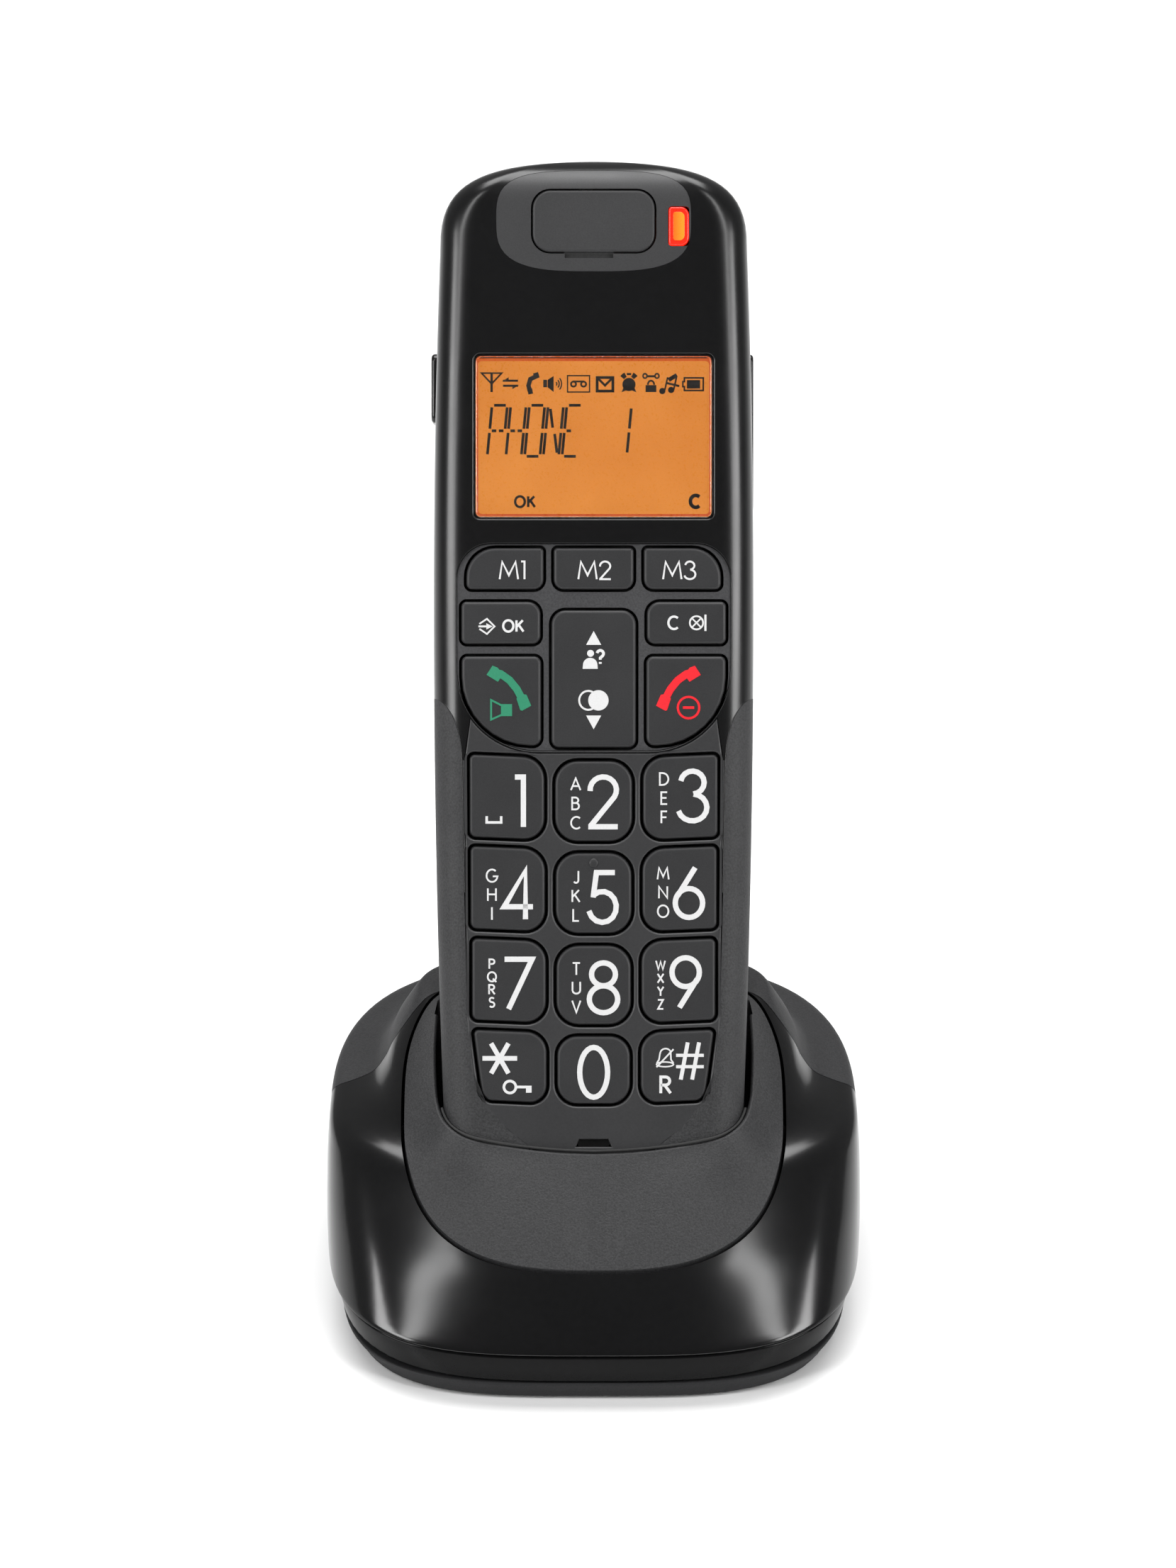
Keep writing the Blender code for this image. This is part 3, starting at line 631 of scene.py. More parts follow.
def insert_outline(grow):
    return superellipse(INSERT_HALF_WIDTH + grow, INSERT_Y - INSERT_HALF_LENGTH - grow,
                        INSERT_Y + INSERT_HALF_LENGTH + grow, INSERT_Y,
                        (INSERT_EXPONENT, INSERT_EXPONENT), 160)


def deck_outline(shift):
    """The rear housing's area: its edge runs in from the sides, then climbs the shoulder to the insert."""
    half = [(60.0, 6.8), (43.0, 7.0), (38.8, 7.4), (35.0, 7.8), (32.6, 8.5), (30.6, 9.8), (28.6, 11.6),
            (26.0, 13.8), (20.0, 16.5), (10.0, 18.0), (0.0, 18.4)]
    points = [(x, y + shift) for x, y in catmull(half, 5)]
    return points + [(-x, y) for x, y in reversed(points[:-1])] + [(-60.0, 70.0), (60.0, 70.0)]


def surround_outline(grow, count=96):
    return superellipse(15.45 + grow, 148.5 - grow, 164.6 + grow, 156.6, (3.2, 3.4), count)


def grip_edge(side, grow):
    """The side grip's visible edge from its pointed top to its foot."""
    top, bend, inner = 80.8, SHELL_SPLIT_Z - 1.0, 20.95
    points = []
    for i in range(SWEEP_POINTS):
        share = i / (SWEEP_POINTS - 1)
        lean = math.sin(share * math.pi / 2)
        points.append((25.6 - (25.6 - inner) * lean - grow, top - (top - bend) * share ** 1.8))
    below = [(20.55, 50.0), (20.0, 30.0), (19.2, 21.5), (17.1, 16.5), (13.8, 12.6), (10.6, 10.1), (8.0, 2.0)]
    points += [(x - grow, z) for x, z in below]
    return [(side * x, z) for x, z in points]


def grip_outline(side, grow):
    edge = grip_edge(side, grow)
    return [(side * 32.0, 84.8), *edge, (side * 32.0, edge[-1][1])]


# ---------------------------------------------------------------- keys

def key_plan():
    """Every key as limits across, limits along and corner radii; the right column mirrors the left."""
    left = {
        "key_m1": ((-20.2, -7.95), (98.1, 104.7), (1.6, 0.6, 4.6, 0.9), "key_m3"),
        "key_ok": ((-21.0, -8.45), (89.45, 96.15), (1.3, 2.0, 0.8, 0.9), "key_c"),
        "key_talk": ((-20.95, -8.35), (73.3, 87.5), (1.3, 1.1, 0.9, 10.9), "key_end"),
        "key_1": ((-19.75, -7.8), (58.55, 71.7), (3.3, 3.5, 0.9, 1.0), "key_3"),
        "key_4": ((-19.6, -7.7), (44.0, 57.15), (3.3, 3.5, 0.9, 1.0), "key_6"),
        "key_7": ((-19.35, -7.55), (29.5, 42.5), (3.3, 3.3, 0.9, 1.0), "key_9"),
        "key_star": ((-19.15, -7.45), (16.75, 28.0), (2.8, 3.2, 0.9, 1.6), "key_hash"),
    }
    plan = {}
    for name, (x, z, (lr, ur, ul, ll), partner) in left.items():
        plan[name] = (x, z, (lr, ur, ul, ll))
        plan[partner] = ((-x[1], -x[0]), z, (ll, ul, ur, lr))
    middle = {
        "key_m2": (6.35, (98.1, 104.7), (1.6, 0.6)), "nav_rocker": (6.7, (73.0, 94.8), (1.2, 2.2)),
        "key_2": (6.15, (58.1, 70.9), (3.6, 3.6)), "key_5": (6.05, (43.5, 56.3), (3.6, 3.6)),
        "key_8": (5.95, (29.0, 41.6), (3.6, 3.6)), "key_0": (5.8, (16.4, 27.2), (3.2, 3.2)),
    }
    for name, (half, z, (low, high)) in middle.items():
        plan[name] = ((-half, half), z, (low, high, high, low))
    return plan


PLAN = key_plan()
UPPER_KEYS = ("key_m1", "key_m2", "key_m3", "key_ok", "key_c", "nav_rocker", "key_talk", "key_end")
NUMBER_KEYS = tuple(name for name in PLAN if name not in UPPER_KEYS)
SLANTED = {"key_star": -1, "key_hash": 1}


def key_outline(name, grow):
    """A key's outline, grown: the number rows bend in a smile and the last row's sides slant."""
    x, z, radii = PLAN[name]
    across = (x[0] - grow, x[1] + grow)
    along = (z[0] - grow, z[1] + grow)
    points = rounded(across, along, [max(r + grow, 0.05) for r in radii])
    if name in UPPER_KEYS:
        return points
    middle = (x[0] + x[1]) / 2
    result = []
    for px, pz in points:
        bend = ROW_BOW * (px ** 2 - middle ** 2)
        slant = 0.0
        if name in SLANTED:
            outer = min(max((abs(px) - 9.0) / 9.5, 0.0), 1.0)
            slant = -SLANTED[name] * 1.5 * outer * (z[1] - pz) / (z[1] - z[0])
        result.append((px + slant, pz + bend))
    return result


def key_cap(name):
    """A key's cap: straight walls, a rounded edge and a flat face."""
    rings = [[(px, KEY_BACK, pz) for px, pz in key_outline(name, 0.0)]]
    steps = 6
    for i in range(steps + 1):
        angle = math.pi / 2 * i / steps
        inset = KEY_ROUND * (1 - math.cos(angle))
        depth = KEY_FRONT + KEY_ROUND * (1 - math.sin(angle))
        rings.append([(px, depth, pz) for px, pz in key_outline(name, -inset)])
    return loft(rings)


def key_centre(name):
    x, z, _ = PLAN[name]
    return (x[0] + x[1]) / 2, (z[0] + z[1]) / 2


# ---------------------------------------------------------------- lettering, drawn as strokes

def ring_path(cx, cz, rx, rz, steps=28):
    return arc((cx, cz), (rx, rz), 0, 360, steps)


# Each glyph is its width and its strokes' centre lines on a body one unit high.
GLYPHS = {
    "0": (0.56, [ring_path(0.28, 0.5, 0.28, 0.5)]),
    "1": (0.17, [[(0.0, 1.0), (0.17, 1.0), (0.17, 0.0)]]),
    "2": (0.56, [arc((0.27, 0.74), (0.265, 0.26), 185, -32) + [(0.02, 0.02)], [(-0.03, 0.0), (0.56, 0.0)]]),
    "3": (0.56, [arc((0.27, 0.77), (0.235, 0.23), 172, -85), arc((0.27, 0.27), (0.29, 0.27), 85, -165)]),
    "4": (0.6, [[(0.6, 0.25), (0.02, 0.25), (0.45, 0.98), (0.45, 0.0)]]),
    "5": (0.55, [[(0.52, 1.0), (0.15, 1.0), (0.085, 0.5)], arc((0.27, 0.31), (0.28, 0.31), 130, -165)]),
    "6": (0.55, [[(0.4, 1.0), (0.045, 0.43)], ring_path(0.275, 0.29, 0.275, 0.29)]),
    "7": (0.56, [[(0.0, 1.0), (0.55, 1.0), (0.08, 0.0)]]),
    "8": (0.57, [ring_path(0.285, 0.77, 0.24, 0.23), ring_path(0.285, 0.27, 0.285, 0.27)]),
    "9": (0.55, [[(0.15, 0.0), (0.505, 0.57)], ring_path(0.275, 0.71, 0.275, 0.29)]),
    "A": (0.8, [[(0, 0), (0.4, 1), (0.8, 0)], [(0.15, 0.34), (0.65, 0.34)]]),
    "B": (0.6, [[(0, 0.54), (0, 1)] + arc((0.28, 0.77), (0.24, 0.23), 90, -90, 8) + [(0, 0.54)],
                [(0, 0.54), (0, 0)] + arc((0.3, 0.27), (0.28, 0.27), -90, 90, 8)]),
    "C": (0.78, [arc((0.45, 0.5), (0.45, 0.5), 48, 312, 16)]),
    "D": (0.74, [[(0, 0), (0, 1)] + arc((0.22, 0.5), (0.5, 0.5), 90, -90, 12) + [(0, 0)]]),
    "E": (0.5, [[(0.5, 1), (0, 1), (0, 0), (0.5, 0)], [(0, 0.52), (0.44, 0.52)]]),
    "F": (0.48, [[(0.48, 1), (0, 1), (0, 0)], [(0, 0.5), (0.42, 0.5)]]),
    "G": (0.86, [arc((0.44, 0.5), (0.44, 0.5), 48, 350, 16) + [(0.88, 0.45), (0.5, 0.45)]]),
    "H": (0.65, [[(0, 0), (0, 1)], [(0.65, 0), (0.65, 1)], [(0, 0.52), (0.65, 0.52)]]),
    "I": (0.0, [[(0, 0), (0, 1)]]),
    "J": (0.4, [[(0.4, 1), (0.4, 0.24)] + arc((0.2, 0.21), (0.2, 0.21), 0, -150, 8)]),
    "K": (0.62, [[(0, 0), (0, 1)], [(0.56, 1), (0.03, 0.44)], [(0.2, 0.6), (0.62, 0)]]),
    "L": (0.48, [[(0, 1), (0, 0), (0.48, 0)]]),
    "M": (0.95, [[(0, 0), (0.13, 0.98), (0.475, 0.22), (0.82, 0.98), (0.95, 0)]]),
    "N": (0.7, [[(0, 0), (0, 0.98), (0.7, 0.02), (0.7, 1)]]),
    "O": (0.9, [ring_path(0.45, 0.5, 0.45, 0.5)]),
    "P": (0.55, [[(0, 0), (0, 1)] + arc((0.28, 0.75), (0.27, 0.25), 90, -90, 8) + [(0, 0.5)]]),
    "Q": (0.9, [ring_path(0.45, 0.5, 0.45, 0.5), [(0.55, 0.3), (0.92, -0.06)]]),
    "R": (0.6, [[(0, 0), (0, 1)] + arc((0.28, 0.75), (0.27, 0.25), 90, -90, 8) + [(0, 0.5)],
                [(0.24, 0.5), (0.6, 0)]]),
    "S": (0.55, [arc((0.28, 0.76), (0.25, 0.24), 35, 265, 10)
                 + arc((0.27, 0.26), (0.27, 0.26), 85, -145, 10)]),
    "T": (0.62, [[(0, 1), (0.62, 1)], [(0.31, 1), (0.31, 0)]]),
    "U": (0.65, [[(0, 1), (0, 0.3)] + arc((0.325, 0.3), (0.325, 0.3), 180, 360, 10) + [(0.65, 1)]]),
    "V": (0.7, [[(0, 1), (0.35, 0), (0.7, 1)]]),
    "W": (1.0, [[(0, 1), (0.25, 0.02), (0.5, 0.9), (0.75, 0.02), (1, 1)]]),
    "X": (0.65, [[(0, 0), (0.65, 1)], [(0, 1), (0.65, 0)]]),
    "Y": (0.65, [[(0, 1), (0.325, 0.5), (0.65, 1)], [(0.325, 0.5), (0.325, 0)]]),
    "Z": (0.6, [[(0, 1), (0.58, 1), (0.02, 0), (0.6, 0)]]),
    "?": (0.5, [arc((0.25, 0.75), (0.25, 0.25), 170, -55, 10) + [(0.25, 0.42), (0.25, 0.28)],
                [(0.25, 0.1), (0.25, -0.04)]]),
}


class Print:
    """Flat marks on a face that looks towards -Y, gathered into one closed-solid mesh."""

    def __init__(self, face_y, raised=0.035, weight=1.0):
        self.bm = bmesh.new()
        self.weight = weight
        self.back = face_y + 0.03
        self.top = face_y - raised
        self.marks = 0

    def depths(self):
        """Back and front of the next mark: crossing marks never share a plane."""
        self.marks += 1
        return self.back, self.top - 0.004 * (self.marks % 4)

    def prism(self, rows, closed):
        """A strip with its left and right edges given as pairs of points."""
        low, high = self.depths()
        rings = []
        for (lx, lz), (rx, rz) in rows:
            corners = ((lx, high, lz), (rx, high, rz), (rx, low, rz), (lx, low, lz))
            rings.append([self.bm.verts.new(c) for c in corners])
        pairs = list(zip(rings, rings[1:]))
        if closed:
            pairs.append((rings[-1], rings[0]))
        for first, second in pairs:
            for k in range(4):
                self.bm.faces.new((first[k], first[(k + 1) % 4], second[(k + 1) % 4], second[k]))
        if not closed:
            self.bm.faces.new(rings[0][::-1])
            self.bm.faces.new(rings[-1])

    def stroke(self, points, width):
        closed = math.dist(points[0], points[-1]) < 1e-6
        points = [Vector(p) for p in (points[:-1] if closed else points)]
        points = [p for i, p in enumerate(points) if i == 0 or (p - points[i - 1]).length > 1e-4]
        rows = []
        total = len(points)
        for i, point in enumerate(points):
            before = points[i - 1] if closed or i else None
            after = points[(i + 1) % total] if closed or i < total - 1 else None
            ahead = (after - point).normalized() if after is not None else None
            behind = (point - before).normalized() if before is not None else None
            along = ((ahead or behind) + (behind or ahead)).normalized()
            side = Vector((-along.y, along.x))
            reach = width / 2 * self.weight
            if ahead is not None and behind is not None:
                reach /= max(along.dot(ahead), 0.45)
            rows.append((point + side * reach, point - side * reach))
        self.prism(rows, closed)

    def fill(self, points):
        """A filled outline."""
        low, high = self.depths()
        rows = [[self.bm.verts.new((x, y, z)) for x, z in points] for y in (low, high)]
        for i in range(len(points)):
            j = (i + 1) % len(points)
            self.bm.faces.new((rows[0][i], rows[0][j], rows[1][j], rows[1][i]))
        self.bm.faces.new(rows[0][::-1])
        self.bm.faces.new(rows[1])

    def disc(self, centre, radius):
        self.fill(arc(centre, (radius, radius), 0, 348.75, 31))

    def text(self, words, centre, height, width, gap=0.28, stretch=1.0, slant=0.0):
        """Words in stroked capitals, centred on a point; height is over the strokes' outer edges."""
        body = height - width
        wide = [GLYPHS[c][0] * body * stretch if c != " " else 0.35 * body for c in words]
        spacing = gap * height + width
        x = centre[0] - (sum(wide) + spacing * (len(words) - 1)) / 2
        z = centre[1] - body / 2
        for c, across in zip(words, wide):
            for line in GLYPHS[c][1] if c != " " else []:
                placed = [(x + (px * stretch + slant * pz) * body, z + pz * body) for px, pz in line]
                self.stroke(placed, width)
            x += across + spacing

    def column(self, letters, x, z, pitch, height, width, stretch=1.0):
        """Letters stacked under each other, the topmost at z."""
        for i, letter in enumerate(letters):
            self.text(letter, (x, z - i * pitch), height, width, stretch=stretch)


LEGEND_Y = KEY_FRONT
DIGIT_HEIGHT, DIGIT_STROKE, LETTER_STROKE = 8.75, 0.84, 0.27

# key: digit, its centre from the key's centre, letters, their column's offset, top, pitch and height
NUMBER_LEGENDS = {
    "key_1": ("1", (1.95, -0.75), "", 0, 0, 0, 0),
    "key_2": ("2", (1.6, -0.1), "ABC", -2.85, 2.7, 3.06, 2.15),
    "key_3": ("3", (1.98, 0.2), "DEF", -2.58, 2.9, 3.04, 2.15),
    "key_4": ("4", (1.64, -0.85), "GHI", -2.5, 2.1, 3.0, 2.25),
    "key_5": ("5", (1.42, -0.68), "JKL", -2.8, 2.58, 3.02, 2.15),
    "key_6": ("6", (1.47, -0.57), "MNO", -2.63, 2.46, 3.0, 2.15),
    "key_7": ("7", (1.53, -0.54), "PQRS", -2.7, 2.66, 2.03, 1.75),
    "key_8": ("8", (1.56, -0.42), "TUV", -2.75, 2.58, 2.99, 2.15),
    "key_9": ("9", (1.15, -0.3), "WXYZ", -2.83, 2.46, 2.07, 1.7),
    "key_0": ("0", (0.0, -0.34), "", 0, 0, 0, 0),
}


def number_legend(mark, name):
    digit, offset, letters, across, top, pitch, height = NUMBER_LEGENDS[name]
    cx, cz = key_centre(name)
    mark.text(digit, (cx + offset[0], cz + offset[1]), DIGIT_HEIGHT, DIGIT_STROKE)
    mark.column(letters, cx + across, cz + top, pitch, height or 1.0, LETTER_STROKE)
    if name == "key_1":
        left, right, low, high = cx - 3.2, cx - 0.9, cz - 4.0, cz - 3.0
        mark.stroke([(left, high), (left, low), (right, low), (right, high)], 0.4)


def star_legend(mark, cx, cz):
    x, z, reach = cx - 1.6, cz + 1.3, 2.75
    for degrees in (0, 60, 120):
        a = math.radians(degrees)
        dx, dz = reach * math.cos(a), reach * math.sin(a)
        mark.stroke([(x - dx, z - dz), (x + dx, z + dz)], 0.74)
    key_z = cz - 3.25
    mark.stroke(ring_path(cx, key_z, 0.95, 0.95), 0.42)
    mark.stroke([(cx + 0.95, key_z), (cx + 3.45, key_z)], 0.42)
    mark.fill([(cx + 2.55, key_z - 0.9), (cx + 3.45, key_z - 0.9), (cx + 3.45, key_z), (cx + 2.55, key_z)])


def hash_legend(mark, cx, cz):
    x, z = cx + 1.98, cz + 0.88
    for shift in (-0.9, 0.9):
        mark.stroke([(x + shift - 0.55, z - 2.95), (x + shift + 0.55, z + 2.95)], 0.62)
        mark.stroke([(x - 2.2, z + shift), (x + 2.2, z + shift)], 0.5)
    mark.text("R", (cx - 1.87, cz - 2.94), 3.05, 0.46)
    bx, bz = cx - 1.98, cz + 1.4
    bell = [(bx - 1.3, bz - 0.85), (bx - 0.95, bz - 0.3), (bx - 0.8, bz + 0.6)]
    bell += arc((bx + 0.1, bz + 0.7), (0.85, 0.75), 170, 20, 8)
    bell += [(bx + 0.95, bz - 0.3), (bx + 1.35, bz - 0.85)]
    mark.stroke(bell, 0.24)
    mark.stroke(ring_path(bx, bz - 1.05, 1.35, 0.38, 20), 0.22)
    mark.stroke([(bx - 1.35, bz - 1.5), (bx + 1.35, bz + 1.35)], 0.26)


def receiver(mark, cx, cz, side):
    """A telephone receiver's silhouette; side is 1 for the talk key and -1 mirrors it."""
    mark.stroke([(cx + side * x, cz + z) for x, z in
                 ((-1.35, 4.55), (-0.1, 4.3), (1.3, 3.3), (2.45, 1.9), (3.35, 0.2), (3.75, -0.9))], 1.2)
    first = ((-2.35, 4.15), (-1.4, 5.6), (-0.6, 5.3), (0.3, 4.2), (-0.55, 3.05), (-1.05, 3.35))
    second = ((2.4, 0.35), (2.9, 1.15), (4.0, 1.0), (4.75, -0.75), (3.3, -1.55), (3.0, -1.45))
    for outline in (first, second):
        mark.fill([(cx + side * x, cz + z) for x, z in outline][::side])


def talk_legend(mark, cx, cz):
    receiver(mark, cx, cz, 1)
    horn = [(-1.62, 0.15), (-1.62, -2.95), (-0.05, -2.25), (1.55, -2.25), (1.55, -0.65), (-0.05, -0.65)]
    mark.stroke([(cx + x, cz + z) for x, z in [*horn, horn[0]]], 0.3)
    mark.fill([(cx + x, cz + z) for x, z in ((-0.05, -2.25), (1.6, -2.25), (1.6, -0.65), (-0.05, -0.65))])


def end_legend(mark, cx, cz):
    receiver(mark, cx, cz, -1)
    x, z = cx + 0.4, cz - 1.05
    mark.stroke(ring_path(x, z, 1.7, 1.7), 0.36)
    mark.stroke([(x - 0.9, z), (x + 0.9, z)], 0.42)


def ok_legend(mark, cx, cz):
    mark.text("OK", (cx + 1.98, cz - 0.5), 2.15, 0.36, gap=0.06)
    x, z, half = cx - 2.2, cz - 0.57, 1.2
    diamond = [(x - half, z + 0.4), (x, z + half), (x + half, z), (x, z - half), (x - half, z - 0.4)]
    mark.stroke(diamond, 0.26)
    mark.stroke([(x - 1.35, z), (x + 0.45, z)], 0.3)
    mark.fill([(x - 0.1, z - 0.5), (x + 0.9, z), (x - 0.1, z + 0.5)])


def clear_legend(mark, cx, cz):
    mark.text("C", (cx - 2.1, cz), 2.35, 0.36)
    x, reach = cx + 1.58, 1.05
    mark.stroke(ring_path(x, cz, reach, reach), 0.27)
    diagonal = reach * math.sqrt(0.5)
    for side in (-1, 1):
        mark.stroke([(x - diagonal, cz - side * diagonal), (x + diagonal, cz + side * diagonal)], 0.24)
    mark.stroke([(cx + 3.0, cz - 1.3), (cx + 3.0, cz + 1.3)], 0.34)


def nav_legend(mark, cx, cz):
    mark.fill([(cx - 1.2, cz + 5.4), (cx + 1.2, cz + 5.4), (cx, cz + 7.6)])
    mark.fill([(cx, cz - 8.0), (cx + 1.2, cz - 5.8), (cx - 1.2, cz - 5.8)])
    mark.disc((cx - 0.5, cz + 4.05), 0.55)
    shoulders = arc((cx - 0.55, cz + 2.2), (1.15, 1.15), 0, 180, 12)
    mark.fill(shoulders + [(cx - 1.75, cz + 1.6), (cx + 0.65, cz + 1.6)])
    mark.text("?", (cx + 1.05, cz + 3.5), 2.5, 0.45)
    mark.stroke(ring_path(cx - 0.85, cz - 3.4, 1.45, 1.5), 0.3)
    mark.disc((cx + 0.75, cz - 3.4), 1.62)


def memory_legend(mark, name, cx, cz):
    shift = {"key_m1": 1.13, "key_m2": 0.14, "key_m3": -0.5}[name]
    mark.text("M" + name[-1], (cx + shift, cz - 0.28), 3.1, 0.3, gap=0.06, stretch=1.1)


LEGENDS = {
    "key_star": (star_legend, INK_WHITE), "key_hash": (hash_legend, INK_WHITE),
    "key_talk": (talk_legend, INK_GREEN), "key_end": (end_legend, INK_RED),
    "key_ok": (ok_legend, INK_WHITE), "key_c": (clear_legend, INK_WHITE),
    "nav_rocker": (nav_legend, INK_WHITE),
}


def make_keys():
    for name in PLAN:
        cx, cz = key_centre(name)
        piece("cap_" + name, key_cap(name), HANDSET, KEY, name, "key_plastic", [name],
              sharp=40, flat=DEPTH_AXIS)
        mark = Print(LEGEND_Y)
        ink = INK_WHITE
        if name in LEGENDS:
            draw, ink = LEGENDS[name]
            draw(mark, cx, cz)
        elif name in NUMBER_LEGENDS:
            number_legend(mark, name)
        else:
            memory_legend(mark, name, cx, cz)
        piece("print_" + name, mark.bm, HANDSET, ink, name, "key_plastic", flat=DEPTH_AXIS)
    pip = loft([[(x, KEY_FRONT + 0.1 - lift, 54.7 + z) for x, z in ring_path(0, 0, size, size, 20)[:-1]]
                for size, lift in ((0.75, 0.0), (0.7, 0.2), (0.5, 0.28), (0.2, 0.3))])
    piece("pip_key_5", pip, HANDSET, KEY, "key_5", "key_plastic", sharp=60)


# ---------------------------------------------------------------- handset

def panel_outline(grow=0.0):
    """The satin panel round the number keys, from under the upper keys to the chin."""
    group_corner = 13.25
    right = [(0.0, 7.6 - grow), (6.0, 7.8 - grow), (10.8, 9.7 - grow)]
    right += [(14.0 + grow * 0.6, 12.3 - grow * 0.6), (17.3 + grow, 16.3), (19.4 + grow, 21.4)]
    right += [(20.15 + grow, 30.0), (20.3 + grow, 50.0), (20.45 + grow, SHELL_SPLIT_Z + 0.4)]
    for degrees in range(-35, -91, -5):
        a = math.radians(degrees)
        right.append((8.75 + group_corner * math.cos(a), 85.4 + group_corner * math.sin(a)))
    right.append((0.0, 85.4 - group_corner))
    left = [(-x, z) for x, z in reversed(right[1:-1])]
    return right + left


def upper_opening(grow=0.0):
    radii = [r + grow for r in (13.0, 5.5, 5.5, 13.0)]
    return rounded((-21.75 - grow, 21.75 + grow), (72.4 - grow, 105.4 + grow), radii, 14)


def display_opening(grow=0.0):
    return rounded((-19.0 - grow, 19.0 + grow), (109.3 - grow, 135.4 + grow), (1.0 + grow,) * 4)


def from_front(x, z):
    return (x, -40.0, z)


def make_handset_shells(outer, inner):
    """Gloss upper shell, textured lower shell, satin panel, grips and rear shell."""
    side_cuts = [
        side_slab(rounded((-4.3, 4.3), (124.8, 136.5), (1.5,) * 4), (-30.0, -20.0)),
        side_slab(rounded((-4.3, 4.3), (110.4, 136.4), (1.5,) * 4), (20.0, 30.0)),
        side_slab(rounded((-2.9, 2.9), (137.7, 143.3), (1.0,) * 4), (20.0, 30.0)),
    ]
    grips = [slab(grip_outline(side, 0.2), (-20.0, 7.2)) for side in (-1, 1)]
    sides = join([bm.copy() for bm in side_cuts + grips])
    edge, fine = 0.35, 0.14
    openings = join([
        slab(upper_opening(fine), CUT_Y),
        slab(display_opening(edge), CUT_Y),
        slab(surround_outline(0.04), CUT_Y),
    ])
    panel_hole = slab(panel_outline(0.1), CUT_Y)
    slot = block((-2.8, 2.8), CUT_Y, (9.5, 10.8))
    front = block(ALL_ACROSS, (-20, -0.1), ALL_ALONG)
    upper = block(ALL_ACROSS, (-20, -0.1), (SHELL_SPLIT_Z, ALL_ALONG[1]))
    lower = block(ALL_ACROSS, (-20, -0.1), (ALL_ALONG[0], SHELL_SPLIT_Z - 0.02))
    hollow = cut(outer.bm, ("INTERSECT", front), ("DIFFERENCE", inner.bm), ("DIFFERENCE", sides))
    top_shell = cut(hollow, ("INTERSECT", upper), ("DIFFERENCE", openings), ("DIFFERENCE", panel_hole))
    on_handset("shell_front_gloss", top_shell, GLOSS, "handset_gloss", ["front_shell"], [outer])
    low_shell = cut(hollow, ("INTERSECT", lower), ("DIFFERENCE", panel_hole), ("DIFFERENCE", slot))
    on_handset("shell_front_textured", low_shell, GRIP, "grip_plastic", [], [outer])

    rims = {
        "rim_upper_keys": (upper_opening(fine), fine),
        "rim_display": (display_opening(edge), edge),
    }
    for name, (outline, radius) in rims.items():
        bead = rim(outer, outline, from_front, (0, 1, 0), radius)
        on_handset(name, bead, GLOSS, "handset_gloss", sharp=80)

    holes = [key_outline(name, KEY_GAP) for name in NUMBER_KEYS]
    holes.append([(-2.8, 9.6), (2.8, 9.6), (2.3, 10.8), (-2.3, 10.8)])
    panel = plate(panel_outline(), holes, -HALF_DEPTH, 2.2, 0.32)
    on_handset("panel_number_keys", panel, SATIN, "handset_gloss", sharp=30, flat=DEPTH_AXIS)

    for side, name in ((-1, "left"), (1, "right")):
        grip = cut(slab(grip_outline(side, 0.0), (-20.0, 7.0)), ("INTERSECT", outer.bm),
                   ("DIFFERENCE", inner.bm))
        on_handset("grip_" + name, grip, GRIP, "grip_plastic", ["side_grip_" + name], [outer])
        # The bead follows the sweep and the one point below it; the rest lies over the panel.
        sweep = grip_edge(side, 0.12)[:SWEEP_POINTS + 1]
        edge_line = catmull(sweep, 3)
        bead = rim(outer, edge_line, from_front, (0, 1, 0), 0.22, closed=False)
        on_handset("rim_grip_" + name, bead, GLOSS, "handset_gloss", sharp=80)

    rear = block(ALL_ACROSS, (0.1, 20), ALL_ALONG)
    holes = [slab(rounded((-16.3, 16.3), (45.7, 98.3), (2.3,) * 4), (9.0, 16.0))]
    for side in (-1, 1):
        holes.append(block((side * PIN_X - 2.25, side * PIN_X + 2.25), (1.25, 4.75), (-3, 3)))
    for row in range(5):
        z = 122.0 + 4 * row
        holes.append(slab(rounded((-6.0, 6.0), (z, z + 1.4), (0.69,) * 4), (9, 16)))
    back = cut(outer.bm, ("INTERSECT", rear), ("DIFFERENCE", inner.bm), ("DIFFERENCE", sides),
               ("DIFFERENCE", join(holes)))
    on_handset("shell_rear", back, GLOSS, "handset_gloss", ["rear_shell"], [outer])
    door = cut(slab(rounded((-16, 16), (46, 98), (2.0,) * 4), (9.0, 16.0)), ("INTERSECT", outer.bm),
               ("DIFFERENCE", inner.bm))
    piece("door_battery", door, HANDSET, GLOSS, "battery_door", "handset_gloss", ["battery_door"], [outer])


def make_upper_web():
    holes = [key_outline(name, KEY_GAP) for name in UPPER_KEYS]
    outline = upper_opening(-0.1)
    web = cut(slab(outline, (-12.95, -11.5)), ("DIFFERENCE", join([slab(h, (-14, -10)) for h in holes])))
    on_handset("web_upper_keys", web, WEB, "web_plastic", ["key_bezel"], flat=DEPTH_AXIS)


